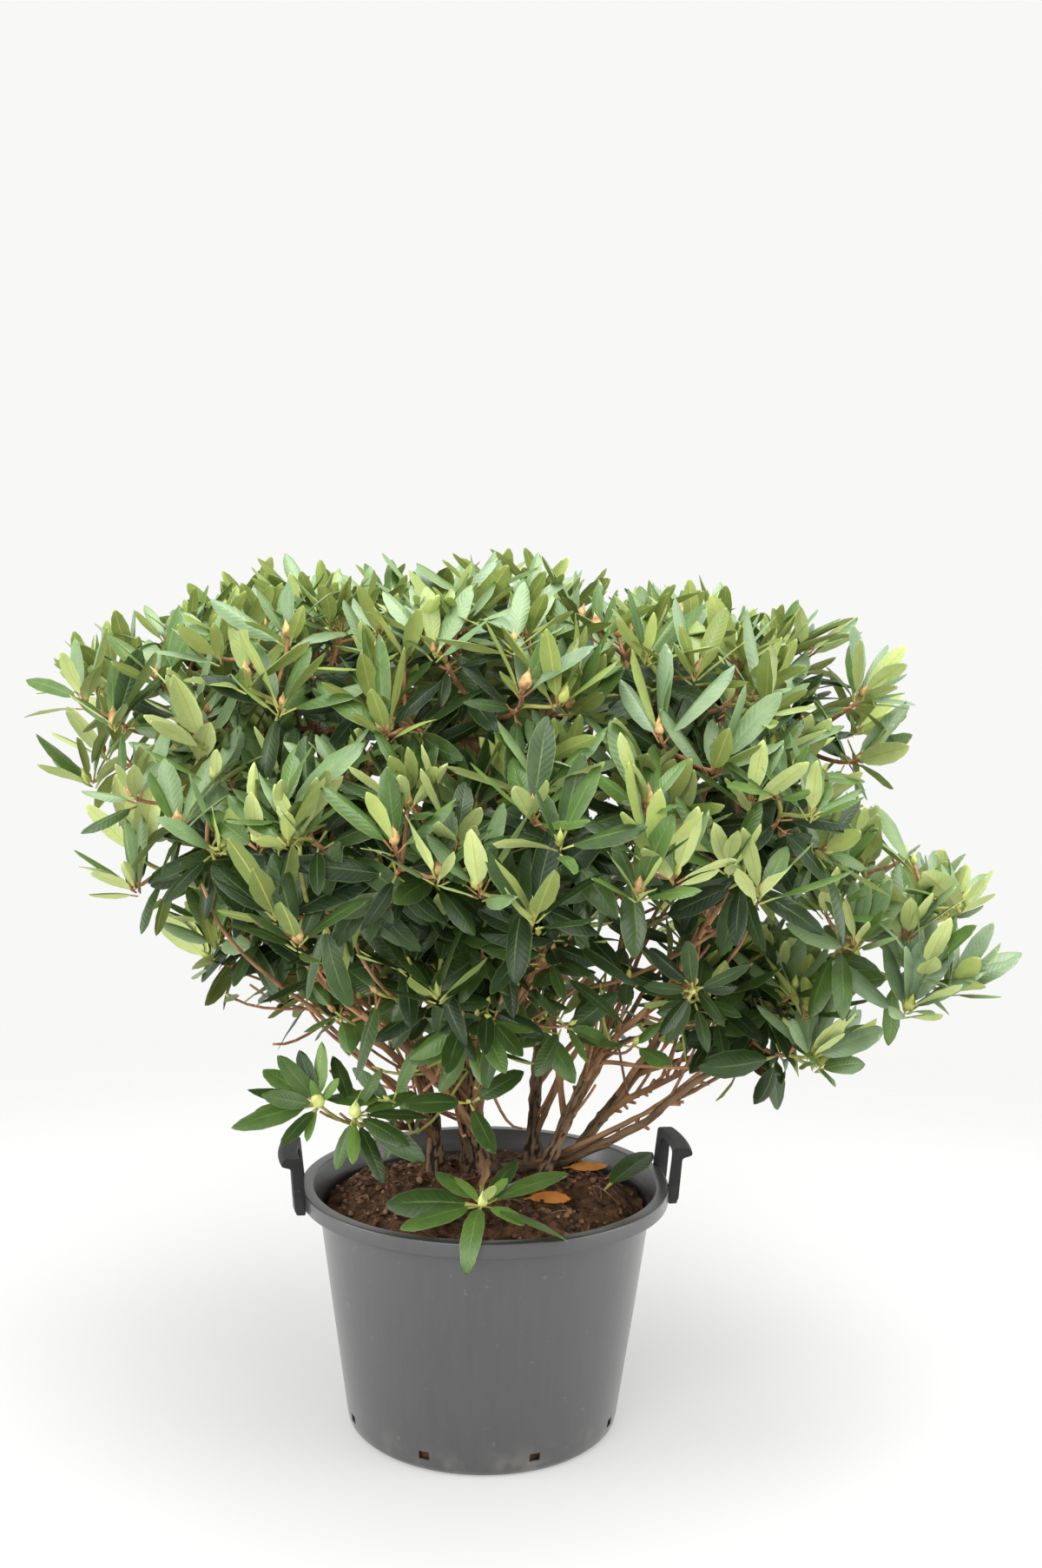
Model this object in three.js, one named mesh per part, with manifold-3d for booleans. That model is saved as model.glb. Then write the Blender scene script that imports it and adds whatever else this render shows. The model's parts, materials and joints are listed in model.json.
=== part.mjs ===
// A rhododendron in its nursery pot: a tapering pot with two handles, compost, seven stems
// from one clump, their boughs, and the masses of foliage that the limbs carry.
// Millimetres, +Z up, +Y to the back, origin at the centre of the pot's flat underside.

import * as THREE from 'three';
import { mergeVertices } from 'three/addons/utils/BufferGeometryUtils.js';
import Module from 'manifold-3d';

const wasm = await Module();
wasm.setup();

// ---------------------------------------------------------------- driving dimensions

const FIT = 0.3; // clearance between pieces that touch
const TURN = Math.PI * 2;

const POT_HEIGHT = 396;
const POT_FLANGE_RADIUS = 297;
const POT_FOOT_RADIUS = 208;
const POT_HEEL_RADIUS = 220;
const POT_HEEL_HEIGHT = 20;
const POT_NECK_RADIUS = 268;
const POT_NECK_HEIGHT = 362;
const POT_LIP_DROP = 24;
const POT_RIM_WIDTH = 19;
const POT_WALL = 4.5;
const POT_FLOOR = 6;
const POT_SEGMENTS = 36;

const DRAIN_COUNT = 8;
const DRAIN_WIDTH = 17;
const DRAIN_HEIGHT = 13;
const DRAIN_LEVEL = 22;

const HANDLE_TURN = 8; // from +X round to the middle of the right handle, degrees
const HANDLE_SPAN = 120;
const HANDLE_LEG = 17;
const HANDLE_FOOT = 366;
const HANDLE_TOP = 457;
const HANDLE_GRIP = 11;
const HANDLE_THICK = 14;
const HANDLE_LEAN = 6; // how much further out the legs are at the grip than at the foot
const HANDLE_OVERHANG = 16; // how far the grip's lip stands out past the legs
const HANDLE_SEAT = 6; // how far the blank runs into the flange before it is hollowed

const COMPOST_EDGE = 356;
const COMPOST_MOUND = 390;
const COMPOST_MOUND_RADIUS = 172;
const COMPOST_SHOULDER = 376;

const STEM_SIDES = 7;
const BOUGH_SIDES = 5;
const LIMB_STEPS = 8;
const LIMB_TIP_RADIUS = 4;
const STEM_FLARE = 0.55; // extra radius at the ground, as a share
const STEM_FLARE_REACH = 16;
const LIMB_WANDER = 0.011; // sideways wander as a share of a limb's length
const LIMB_LEAVES = 0.36; // how long a limb keeps the way it starts, as a share
const LIMB_ARRIVES = 0.3; // and the way it ends
const BOUGH_SLIMNESS = 0.72; // a bough's foot against its parent there
const GROUND_BLOCK = 200;

const LEAF_LENGTH = 172;
const LEAF_HALF_WIDTH = 30;
const LEAF_THICKNESS = 6;
const LEAF_FOLD = 4;
const LEAF_BELLY = 0.5; // where along its length a leaf is widest
const LEAF_SPRING = 0.7; // how far from its shoot's middle line a leaf springs
const LEAF_DROP = 5; // how far below its whorl's ring a leaf springs
const LEAF_TURNS = [0, 0.3, -0.3]; // turns about the shoot that a leaf is tried at, radians
const LEAVES_IN_WHORL = 5;
const LEAF_TRIMS = [1, 0.84, 0.7]; // lengths that a leaf is tried at, as shares

const SHOOTS_IN_MASS = 6;
const SHOOT_DEPTH = 0.5; // how far out in its space a shoot ends
const SHOOT_PULLS = [1, 0.8, 0.62]; // depths that a shoot is tried at, as shares
const SHOOT_SPREAD = 112; // half angle of the cone of shoots, degrees
const SHOOT_SPACING = 0.72; // the share of its mass's stem that the shoots leave from
const GOLDEN_TURN = Math.PI * (3 - Math.sqrt(5));
const SHOOT_RADIUS = 2.1;
const WHORL_RADIUS = 3.4;
const MASS_STEM_RADIUS = 4.6;
const MASS_STEM_TIP = 3.4;
const MASS_STEM_STEPS = 3;
const MASS_ENTRY = 0.46; // how far short of a mass's middle its limb ends, by its half width
const MASS_HEART = 0.12; // how far past the middle the mass's own stem runs, by its half height
const CROWN_CORE = { x: 0, y: 40, reach: 520, height: 1500 }; // what the masses face away from
const LIFT = { from: 440, over: 1800 }; // limbs to higher masses arrive more upright
const OPENNESS = { low: 84, high: 60, lowAt: 500, highAt: 1250 }; // a whorl's opening, degrees
const BUD_RADIUS = 6;
const BUD_LENGTH = 22;
const SPACE_MARGIN = 2;
const LIMB_MARGIN = 2;
const POT_MARGIN = 6;
const HANDLE_SIDE = 240; // sideways from the middle, past which the handles are near
const GROWTH_SEED = 1817;

const BARK = { color: 0x5b4636, roughness: 0.9, metalness: 0 };
const BOUGH_BARK = { color: 0x7d5238, roughness: 0.8, metalness: 0 };
const FOLIAGE = { color: 0x47663a, roughness: 0.45, metalness: 0 };
const POT_PLASTIC = { color: 0x45474a, roughness: 0.6, metalness: 0 };
const COMPOST = { color: 0x37261c, roughness: 1, metalness: 0 };

// The stems: where each leaves the compost, its radius there, the way it first leans
// (a bearing from +X and a rise above level, in degrees), and the mass at its tip.
const STEMS = [
  { name: 'stem_middle', x: 8, y: 20, radius: 13, lean: -150, rise: 72, bears: 'upper_front' },
  { name: 'stem_dark', x: -25, y: 98, radius: 12, lean: 170, rise: 80, bears: 'crown_top' },
  { name: 'stem_left', x: -82, y: 72, radius: 12, lean: 90, rise: 78, bears: 'upper_left' },
  { name: 'stem_right', x: 88, y: 8, radius: 11, lean: 0, rise: 66, bears: 'upper_right' },
  { name: 'stem_back', x: 76, y: 118, radius: 11, lean: 80, rise: 76, bears: 'upper_back_right' },
  { name: 'stem_far_right', x: 134, y: 104, radius: 10, lean: 15, rise: 52, bears: 'right_shoulder' },
  { name: 'stem_low', x: 34, y: 72, radius: 8.5, lean: -16, rise: 10, bears: 'right_wing' },
];

// The crown: each mass by the bearing, reach and height of its middle, its half width and
// half height, the limb it grows from and how far up that limb the bough forks.
const CROWN = [
  { name: 'crown_top', bearing: 90, reach: 20, height: 1215, wide: 225, tall: 185 },
  { name: 'upper_front', bearing: -92, reach: 300, height: 1165, wide: 225, tall: 180 },
  { name: 'upper_front_left', bearing: -138, reach: 350, height: 1170, wide: 225, tall: 180,
    from: 'stem_dark', fork: 0.36 },
  { name: 'upper_left', bearing: 170, reach: 340, height: 1190, wide: 230, tall: 190 },
  { name: 'upper_back_left', bearing: 124, reach: 390, height: 1200, wide: 230, tall: 185,
    from: 'stem_dark', fork: 0.5 },
  { name: 'upper_back_right', bearing: 62, reach: 375, height: 1190, wide: 230, tall: 185 },
  { name: 'upper_right', bearing: 12, reach: 300, height: 1165, wide: 225, tall: 185 },
  { name: 'upper_front_right', bearing: -48, reach: 345, height: 1160, wide: 225, tall: 180,
    from: 'stem_right', fork: 0.5 },
  { name: 'outer_left', bearing: 180, reach: 500, height: 1115, wide: 230, tall: 195,
    from: 'stem_left', fork: 0.42 },
  { name: 'outer_front_left', bearing: -147, reach: 432, height: 965, wide: 230, tall: 185,
    from: 'stem_middle', fork: 0.1 },
  { name: 'front_left', bearing: -111, reach: 425, height: 960, wide: 225, tall: 185,
    from: 'stem_middle', fork: 0.38 },
  { name: 'front_right', bearing: -75, reach: 430, height: 980, wide: 225, tall: 185,
    from: 'stem_middle', fork: 0.2 },
  { name: 'outer_front_right', bearing: -37, reach: 465, height: 985, wide: 230, tall: 185,
    from: 'stem_right', fork: 0.24 },
  { name: 'right_wing', bearing: -5, reach: 588, height: 815, wide: 230, tall: 190 },
  { name: 'right_shoulder', bearing: 6, reach: 505, height: 1130, wide: 225, tall: 185 },
  { name: 'outer_back_right', bearing: 38, reach: 535, height: 985, wide: 235, tall: 190,
    from: 'stem_far_right', fork: 0.34 },
  { name: 'outer_back', bearing: 90, reach: 430, height: 1000, wide: 235, tall: 190,
    from: 'stem_back', fork: 0.4 },
  { name: 'outer_back_left', bearing: 140, reach: 530, height: 975, wide: 235, tall: 190,
    from: 'stem_left', fork: 0.28 },
  { name: 'low_left', bearing: 182, reach: 320, height: 810, wide: 200, tall: 165,
    from: 'stem_left', fork: 0.16 },
  { name: 'low_front', bearing: -95, reach: 230, height: 825, wide: 200, tall: 145,
    from: 'stem_middle', fork: 0.3 },
  { name: 'low_right', bearing: -4, reach: 410, height: 680, wide: 205, tall: 160,
    from: 'stem_far_right', fork: 0.12 },
  { name: 'low_back', bearing: 78, reach: 290, height: 825, wide: 205, tall: 160,
    from: 'stem_back', fork: 0.2 },
  { name: 'spray_left', bearing: -149, reach: 275, height: 545, wide: 195, tall: 125,
    from: 'stem_left', fork: 0.07 },
  { name: 'spray_rim', bearing: -92, reach: 205, height: 432, wide: 180, tall: 90,
    from: 'stem_middle', fork: 0.035 },
];

// ---------------------------------------------------------------- small helpers

const UP = new THREE.Vector3(0, 0, 1);

function radians(degrees) {
  return THREE.MathUtils.degToRad(degrees);
}

// A vector from a bearing and a rise, both in degrees.
function heading(bearing, rise) {
  const level = Math.cos(radians(rise));
  return new THREE.Vector3(
    level * Math.cos(radians(bearing)),
    level * Math.sin(radians(bearing)),
    Math.sin(radians(rise)),
  );
}

function mix(a, b, share) {
  return a.clone().lerp(b, share);
}

function blend(a, shareA, b, shareB) {
  return a.clone().multiplyScalar(shareA).addScaledVector(b, shareB).normalize();
}

// Any unit vector square to `axis`.
function squareTo(axis) {
  const guide = Math.abs(axis.z) < 0.9 ? UP : new THREE.Vector3(1, 0, 0);
  return new THREE.Vector3().crossVectors(axis, guide).normalize();
}

// The seeded generator of the growth rule: numbers from 0 to 1.
function makeRandom(seed) {
  let state = seed >>> 0;
  return () => {
    state = (state + 0x6d2b79f5) >>> 0;
    let t = state;
    t = Math.imul(t ^ (t >>> 15), t | 1);
    t ^= t + Math.imul(t ^ (t >>> 7), t | 61);
    return ((t ^ (t >>> 14)) >>> 0) / 4294967296;
  };
}

function toSolid(geometry) {
  const bare = geometry.clone();
  bare.deleteAttribute('normal');
  bare.deleteAttribute('uv');
  const merged = mergeVertices(bare, 1e-4);
  return new wasm.Manifold(new wasm.Mesh({
    numProp: 3,
    vertProperties: new Float32Array(merged.attributes.position.array),
    triVerts: new Uint32Array(merged.index.array),
  }));
}

function toGeometry(solid) {
  const mesh = solid.getMesh();
  const geometry = new THREE.BufferGeometry();
  geometry.setAttribute('position', new THREE.BufferAttribute(mesh.vertProperties, 3));
  geometry.setIndex(new THREE.BufferAttribute(mesh.triVerts, 1));
  geometry.computeVertexNormals();
  return geometry;
}

function fromLists(vertices, faces) {
  const geometry = new THREE.BufferGeometry();
  geometry.setFromPoints(vertices);
  geometry.setIndex(faces);
  return geometry;
}

function makeMesh(name, geometry, finish) {
  const mesh = new THREE.Mesh(geometry, new THREE.MeshStandardMaterial({ ...finish, name }));
  mesh.name = name;
  return mesh;
}

// Unit tangents along a row of points.
function tangentsOf(points) {
  return points.map((point, i) => {
    const before = points[Math.max(i - 1, 0)];
    const after = points[Math.min(i + 1, points.length - 1)];
    return after.clone().sub(before).normalize();
  });
}

// A closed tapering tube: a ring of `sides` points square to the path at each point, with
// the ring carried along the path without twist. A last radius of 0 makes a pointed end.
function tubeGeometry(points, radii, sides) {
  const tangents = tangentsOf(points);
  const vertices = [];
  const faces = [];
  const pointed = radii[radii.length - 1] === 0;
  const rings = pointed ? points.length - 1 : points.length;
  let normal = squareTo(tangents[0]);
  for (let i = 0; i < rings; i += 1) {
    normal = normal.clone().addScaledVector(tangents[i], -normal.dot(tangents[i])).normalize();
    const side = new THREE.Vector3().crossVectors(tangents[i], normal);
    for (let j = 0; j < sides; j += 1) {
      const angle = (TURN * j) / sides;
      vertices.push(points[i].clone()
        .addScaledVector(normal, radii[i] * Math.cos(angle))
        .addScaledVector(side, radii[i] * Math.sin(angle)));
    }
  }
  for (let i = 0; i < rings - 1; i += 1) {
    for (let j = 0; j < sides; j += 1) {
      const a = i * sides + j;
      const b = i * sides + ((j + 1) % sides);
      faces.push(a, b, b + sides, a, b + sides, a + sides);
    }
  }
  for (let j = 1; j < sides - 1; j += 1) faces.push(0, j + 1, j);
  const last = (rings - 1) * sides;
  if (pointed) {
    vertices.push(points[points.length - 1].clone());
    const apex = vertices.length - 1;
    for (let j = 0; j < sides; j += 1) faces.push(last + j, last + ((j + 1) % sides), apex);
  } else {
    for (let j = 1; j < sides - 1; j += 1) faces.push(last, last + j, last + j + 1);
  }
  return fromLists(vertices, faces);
}

// The shortest distance between two straight pieces, a to b and c to d.
function gapBetween(a, b, c, d) {
  const u = b.clone().sub(a);
  const v = d.clone().sub(c);
  const w = a.clone().sub(c);
  const uu = u.dot(u);
  const uv = u.dot(v);
  const vv = v.dot(v);
  const uw = u.dot(w);
  const vw = v.dot(w);
  const denominator = uu * vv - uv * uv;
  const clamp = THREE.MathUtils.clamp;
  let s = denominator > 1e-9 ? clamp((uv * vw - vv * uw) / denominator, 0, 1) : 0;
  const t = clamp((uv * s + vw) / vv, 0, 1);
  s = clamp((uv * t - uw) / uu, 0, 1);
  return a.clone().addScaledVector(u, s).distanceTo(c.clone().addScaledVector(v, t));
}

// ---------------------------------------------------------------- pot, handles, compost

// The radius of the pot's outer wall at a height above the heel.
function potWallRadius(height) {
  const share = (height - POT_HEEL_HEIGHT) / (POT_NECK_HEIGHT - POT_HEEL_HEIGHT);
  return THREE.MathUtils.lerp(POT_HEEL_RADIUS, POT_NECK_RADIUS, share);
}

// A profile of [radius, height] pairs turned about the vertical axis.
function turned(profile, segments) {
  const points = profile.map(([radius, height]) => new THREE.Vector2(radius, height));
  return new THREE.LatheGeometry(points, segments).rotateX(Math.PI / 2);
}

function drainCutters() {
  const cutters = [];
  for (let i = 0; i < DRAIN_COUNT; i += 1) {
    const box = new THREE.BoxGeometry(60, DRAIN_WIDTH, DRAIN_HEIGHT);
    box.translate(POT_HEEL_RADIUS, 0, DRAIN_LEVEL + DRAIN_HEIGHT / 2);
    box.rotateZ((TURN * (i + 0.5)) / DRAIN_COUNT);
    cutters.push(toSolid(box));
  }
  return wasm.Manifold.union(cutters);
}

function makePot() {
  const lipFoot = POT_HEIGHT - POT_LIP_DROP;
  const mouth = POT_FLANGE_RADIUS - POT_RIM_WIDTH;
  const shell = turned([
    [0, 0],
    [POT_FOOT_RADIUS, 0],
    [POT_HEEL_RADIUS - 3, POT_HEEL_HEIGHT * 0.4],
    [POT_HEEL_RADIUS, POT_HEEL_HEIGHT],
    [POT_NECK_RADIUS, POT_NECK_HEIGHT],
    [POT_NECK_RADIUS + 4, lipFoot - 3],
    [POT_FLANGE_RADIUS - 2, lipFoot],
    [POT_FLANGE_RADIUS, lipFoot + 4],
    [POT_FLANGE_RADIUS, POT_HEIGHT - 3],
    [POT_FLANGE_RADIUS - 3, POT_HEIGHT],
    [mouth + 2, POT_HEIGHT],
    [mouth, POT_HEIGHT - 3],
    [POT_NECK_RADIUS - POT_WALL, POT_NECK_HEIGHT],
    [POT_HEEL_RADIUS - POT_WALL, POT_HEEL_HEIGHT],
    [POT_HEEL_RADIUS - POT_WALL - 4, POT_FLOOR],
    [0, POT_FLOOR],
  ], POT_SEGMENTS);
  return toGeometry(toSolid(shell).subtract(drainCutters()));
}

// One handle: a hooded strap that follows the rim, cut to its span and through by the finger
// gap, turned to its place and hollowed to the flange's flats.
function makeHandle(turn) {
  const inner = POT_FLANGE_RADIUS + 1;
  const seat = POT_FLANGE_RADIUS - HANDLE_SEAT;
  const outer = inner + HANDLE_THICK;
  const lip = outer + HANDLE_LEAN + HANDLE_OVERHANG;
  const gripFoot = HANDLE_TOP - HANDLE_GRIP;
  const ring = toSolid(turned([
    [seat, HANDLE_FOOT],
    [outer, HANDLE_FOOT],
    [outer + HANDLE_LEAN, gripFoot],
    [lip, gripFoot + 1],
    [lip - 1, gripFoot + 5],
    [lip - 7, HANDLE_TOP],
    [inner + HANDLE_LEAN + 2, HANDLE_TOP],
    [inner + HANDLE_LEAN, HANDLE_TOP - 3],
    [inner, POT_HEIGHT - 1],
    [seat, POT_HEIGHT - 1],
    [seat, HANDLE_FOOT],
  ], POT_SEGMENTS * 2));
  const span = new THREE.BoxGeometry(POT_HEIGHT, HANDLE_SPAN, POT_HEIGHT);
  span.translate(inner, 0, HANDLE_TOP);
  const gap = new THREE.BoxGeometry(POT_HEIGHT, HANDLE_SPAN - 2 * HANDLE_LEG, gripFoot);
  gap.translate(inner, 0, gripFoot / 2);
  const flange = turned([
    [0, 0],
    [POT_FLANGE_RADIUS + FIT, 0],
    [POT_FLANGE_RADIUS + FIT, POT_HEIGHT + FIT],
    [0, POT_HEIGHT + FIT],
  ], POT_SEGMENTS);
  const strap = ring.intersect(toSolid(span)).subtract(toSolid(gap)).rotate([0, 0, turn]);
  return toGeometry(strap.subtract(toSolid(flange)));
}

// The compost fills the pot and rises to a flat mound under the stems.
function makeCompost() {
  const wall = (height) => potWallRadius(height) - POT_WALL - FIT * 2;
  return toGeometry(toSolid(turned([
    [0, POT_FLOOR + FIT],
    [POT_HEEL_RADIUS - POT_WALL - 6, POT_FLOOR + FIT],
    [wall(POT_HEEL_HEIGHT), POT_HEEL_HEIGHT],
    [wall(COMPOST_EDGE), COMPOST_EDGE],
    [(COMPOST_MOUND_RADIUS + wall(COMPOST_EDGE)) / 2, COMPOST_SHOULDER],
    [COMPOST_MOUND_RADIUS, COMPOST_MOUND],
    [0, COMPOST_MOUND],
  ], POT_SEGMENTS / 2)));
}

// ---------------------------------------------------------------- limbs

function massCentre(mass) {
  return heading(mass.bearing, 0).multiplyScalar(mass.reach).setZ(mass.height);
}

// The way a mass faces: out from the crown's core and up.
function massFacing(mass) {
  return massCentre(mass).sub(new THREE.Vector3(CROWN_CORE.x, CROWN_CORE.y, 0)).setZ(0)
    .divideScalar(CROWN_CORE.reach)
    .addScaledVector(UP, mass.height / CROWN_CORE.height)
    .normalize();
}

// A limb's centre line: a smooth bend from its foot to its tip that wanders a little.
function limbPath(foot, away, tip, arrival, random) {
  const length = foot.distanceTo(tip);
  const bend = new THREE.CubicBezierCurve3(
    foot,
    foot.clone().addScaledVector(away, length * LIMB_LEAVES),
    tip.clone().addScaledVector(arrival, -length * LIMB_ARRIVES),
    tip,
  );
  const along = tip.clone().sub(foot).normalize();
  const sideways = squareTo(along);
  const other = new THREE.Vector3().crossVectors(along, sideways);
  const phases = [random() * TURN, random() * TURN];
  const points = [];
  for (let i = 0; i <= LIMB_STEPS; i += 1) {
    const share = i / LIMB_STEPS;
    const sway = length * LIMB_WANDER * Math.sin(Math.PI * share);
    points.push(bend.getPoint(share)
      .addScaledVector(sideways, sway * Math.sin(phases[0] + share * TURN * 1.6))
      .addScaledVector(other, sway * Math.sin(phases[1] + share * TURN * 1.2)));
  }
  return points;
}

// Where a limb ends in its mass, and the way it points there.
function limbEnd(mass, foot) {
  const centre = massCentre(mass);
  const straight = centre.clone().sub(foot).normalize();
  const lift = Math.max(0, (mass.height - LIFT.from) / LIFT.over);
  const arrival = blend(straight, 0.75, UP, lift);
  const tip = centre.clone().addScaledVector(arrival, -MASS_ENTRY * mass.wide);
  return { tip, arrival };
}

function taper(foot, tip) {
  const radii = [];
  for (let i = 0; i <= LIMB_STEPS; i += 1) {
    const share = i / LIMB_STEPS;
    radii.push(THREE.MathUtils.lerp(foot, tip, Math.pow(share, 0.8)));
  }
  return radii;
}

function growStem(stem, mass, random) {
  const away = heading(stem.lean, stem.rise);
  const foot = new THREE.Vector3(stem.x, stem.y, COMPOST_MOUND + FIT);
  const { tip, arrival } = limbEnd(mass, foot);
  const points = limbPath(foot, away, tip, arrival, random);
  const radii = taper(stem.radius, LIMB_TIP_RADIUS);
  const flared = mix(points[0], points[1], STEM_FLARE_REACH / points[0].distanceTo(points[1]));
  const buried = points[0].clone().addScaledVector(away, -2 * STEM_FLARE_REACH);
  return {
    name: stem.name,
    mass,
    points,
    radii,
    arrival,
    sides: STEM_SIDES,
    skin: [buried, points[0], flared, ...points.slice(1)],
    skinRadii: [stem.radius * (1 + 2 * STEM_FLARE), stem.radius * (1 + STEM_FLARE),
      radii[0] * 1.06, ...radii.slice(1)],
  };
}

// A bough leaves its parent part of the way up, between the parent's line and its own.
function growBough(mass, parent, random) {
  const at = mass.fork * LIMB_STEPS;
  const step = Math.floor(at);
  const foot = mix(parent.points[step], parent.points[step + 1], at - step);
  const parentRadius = THREE.MathUtils.lerp(parent.radii[step], parent.radii[step + 1], at - step);
  const parentWay = parent.points[step + 1].clone().sub(parent.points[step]).normalize();
  const { tip, arrival } = limbEnd(mass, foot);
  const straight = tip.clone().sub(foot).normalize();
  const away = blend(straight, 0.8, parentWay, 0.35);
  const points = limbPath(foot, away, tip, arrival, random);
  const radii = taper(parentRadius * BOUGH_SLIMNESS, LIMB_TIP_RADIUS);
  return {
    name: `bough_${mass.name}`,
    mass,
    parent,
    points,
    radii,
    arrival,
    sides: BOUGH_SIDES,
    skin: points,
    skinRadii: radii,
  };
}

// A ring a little larger than the rim, which leaves that lean over it stay clear of.
function rimShield() {
  const inner = POT_FLANGE_RADIUS - POT_RIM_WIDTH - LIMB_MARGIN;
  const outer = POT_FLANGE_RADIUS + LIMB_MARGIN;
  const foot = POT_HEIGHT - POT_LIP_DROP;
  const top = POT_HEIGHT + LIMB_MARGIN;
  return toSolid(turned(
    [[inner, foot], [outer, foot], [outer, top], [inner, top], [inner, foot]],
    POT_SEGMENTS,
  ));
}

function growLimbs() {
  const limbs = [];
  STEMS.forEach((stem, i) => {
    const mass = CROWN.find((each) => each.name === stem.bears);
    limbs.push(growStem(stem, mass, makeRandom(GROWTH_SEED * 3 + i)));
  });
  CROWN.filter((mass) => mass.from).forEach((mass, i) => {
    const parent = limbs.find((limb) => limb.name === mass.from);
    limbs.push(growBough(mass, parent, makeRandom(GROWTH_SEED * 5 + i)));
  });
  return limbs;
}

function limbSolid(limb, extra) {
  return toSolid(tubeGeometry(limb.skin, limb.skinRadii.map((radius) => radius + extra), limb.sides));
}

// A stem is cut flat at the compost, and a bough is hollowed to its parent's round side.
function makeLimb(limb) {
  const solid = limbSolid(limb, 0);
  if (limb.parent) return toGeometry(solid.subtract(limbSolid(limb.parent, FIT)));
  const ground = new THREE.BoxGeometry(GROUND_BLOCK, GROUND_BLOCK, GROUND_BLOCK);
  ground.translate(limb.points[0].x, limb.points[0].y, COMPOST_MOUND + FIT - GROUND_BLOCK / 2);
  return toGeometry(solid.subtract(toSolid(ground)));
}

// ---------------------------------------------------------------- the space of each mass

// A mass's space: an ellipsoid, cut off halfway to each neighbour by flat faces.
function makeSpace(mass) {
  const centre = massCentre(mass);
  const faces = CROWN.filter((other) => other !== mass).map((other) => {
    const away = massCentre(other).sub(centre);
    const distance = away.length();
    const offset = (distance * distance + mass.wide ** 2 - other.wide ** 2) / (2 * distance);
    return { normal: away.divideScalar(distance), offset };
  });
  return { mass, centre, faces };
}

function insideSpace(space, point) {
  const from = point.clone().sub(space.centre);
  const { wide, tall } = space.mass;
  const round = Math.hypot(from.x / wide, from.y / wide, from.z / tall);
  if (round > 1) return false;
  return space.faces.every((face) => from.dot(face.normal) < face.offset - SPACE_MARGIN);
}

// Foliage keeps above the rim, in front of the pot's wall, and away from the handles.
function clearOfPot(point) {
  if (point.z > HANDLE_TOP + POT_MARGIN) return true;
  const radius = Math.hypot(point.x, point.y);
  if (Math.abs(point.x) > HANDLE_SIDE && radius > POT_FLANGE_RADIUS - POT_RIM_WIDTH) return false;
  return point.z > POT_HEIGHT + POT_MARGIN || radius > POT_FLANGE_RADIUS + POT_MARGIN;
}

function clearOfLimbs(limbs, a, b, reach) {
  return limbs.every((limb) => limb.points.every((point, i) => {
    if (i === 0) return true;
    const gap = gapBetween(a, b, limb.points[i - 1], point);
    return gap > limb.radii[i - 1] + reach + LIMB_MARGIN;
  }));
}

// ---------------------------------------------------------------- foliage

// The mass's own stem carries on from its limb, just clear of it, to the middle.
function massStem(space, limb) {
  const tip = limb.points[LIMB_STEPS];
  const way = tangentsOf(limb.points)[LIMB_STEPS];
  const start = tip.clone().addScaledVector(way, FIT);
  const facing = massFacing(space.mass);
  const end = space.centre.clone().addScaledVector(facing, space.mass.tall * MASS_HEART);
  const bend = new THREE.QuadraticBezierCurve3(
    start,
    start.clone().addScaledVector(way, start.distanceTo(end) * 0.5),
    end,
  );
  return bend.getPoints(MASS_STEM_STEPS);
}

function pointOnPath(points, share) {
  const at = Math.min(share, 0.999) * (points.length - 1);
  const step = Math.floor(at);
  return mix(points[step], points[step + 1], at - step);
}

// The way of shoot k: the shoots spread evenly over a wide cone about the mass's facing.
function shootWay(mass, k, count, draw) {
  const facing = massFacing(mass);
  const side = squareTo(facing);
  const other = new THREE.Vector3().crossVectors(facing, side);
  const height = 1 - (1 - Math.cos(radians(SHOOT_SPREAD))) * ((k + 0.35) / count);
  const turn = k * GOLDEN_TURN + (draw - 0.5) * 0.7;
  const level = Math.sqrt(1 - height * height);
  return facing.multiplyScalar(height)
    .addScaledVector(side, level * Math.cos(turn))
    .addScaledVector(other, level * Math.sin(turn));
}

// A shoot leaves the mass's stem and runs out to its whorl, where it turns up a little.
function growShoot(space, stem, k, count, draws, pull) {
  const { mass, centre } = space;
  const way = shootWay(mass, k, count, draws[0]);
  const depth = SHOOT_DEPTH * (0.9 + 0.2 * draws[1]) * pull;
  const end = centre.clone().add(new THREE.Vector3(
    way.x * mass.wide, way.y * mass.wide, way.z * mass.tall,
  ).multiplyScalar(depth));
  const start = pointOnPath(stem, 1 - SHOOT_SPACING * ((k + draws[2] * 0.6) / count));
  const axis = blend(end.clone().sub(start).normalize(), 0.75, UP, 0.4);
  return { points: [start, end], axis, phase: draws[3] * TURN };
}

// Shoot and bud in one: the last ring swells and closes to a point.
function shootGeometry(shoot) {
  const end = shoot.points[1];
  const points = [
    ...shoot.points,
    end.clone().addScaledVector(shoot.axis, BUD_LENGTH * 0.4),
    end.clone().addScaledVector(shoot.axis, BUD_LENGTH),
  ];
  return tubeGeometry(points, [SHOOT_RADIUS, WHORL_RADIUS, BUD_RADIUS, 0], 3);
}

// One leaf: two edges and a keel below them at its belly, then its foot and its tip.
function leafCorners(foot, way, face, length) {
  const across = new THREE.Vector3().crossVectors(face, way).normalize();
  const belly = foot.clone().addScaledVector(way, length * LEAF_BELLY);
  const half = LEAF_HALF_WIDTH * (length / LEAF_LENGTH);
  const edge = belly.clone().addScaledVector(face, LEAF_FOLD);
  return [
    edge.clone().addScaledVector(across, half),
    edge.clone().addScaledVector(across, -half),
    edge.clone().addScaledVector(face, -LEAF_THICKNESS),
    foot.clone(),
    foot.clone().addScaledVector(way, length),
  ];
}

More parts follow.
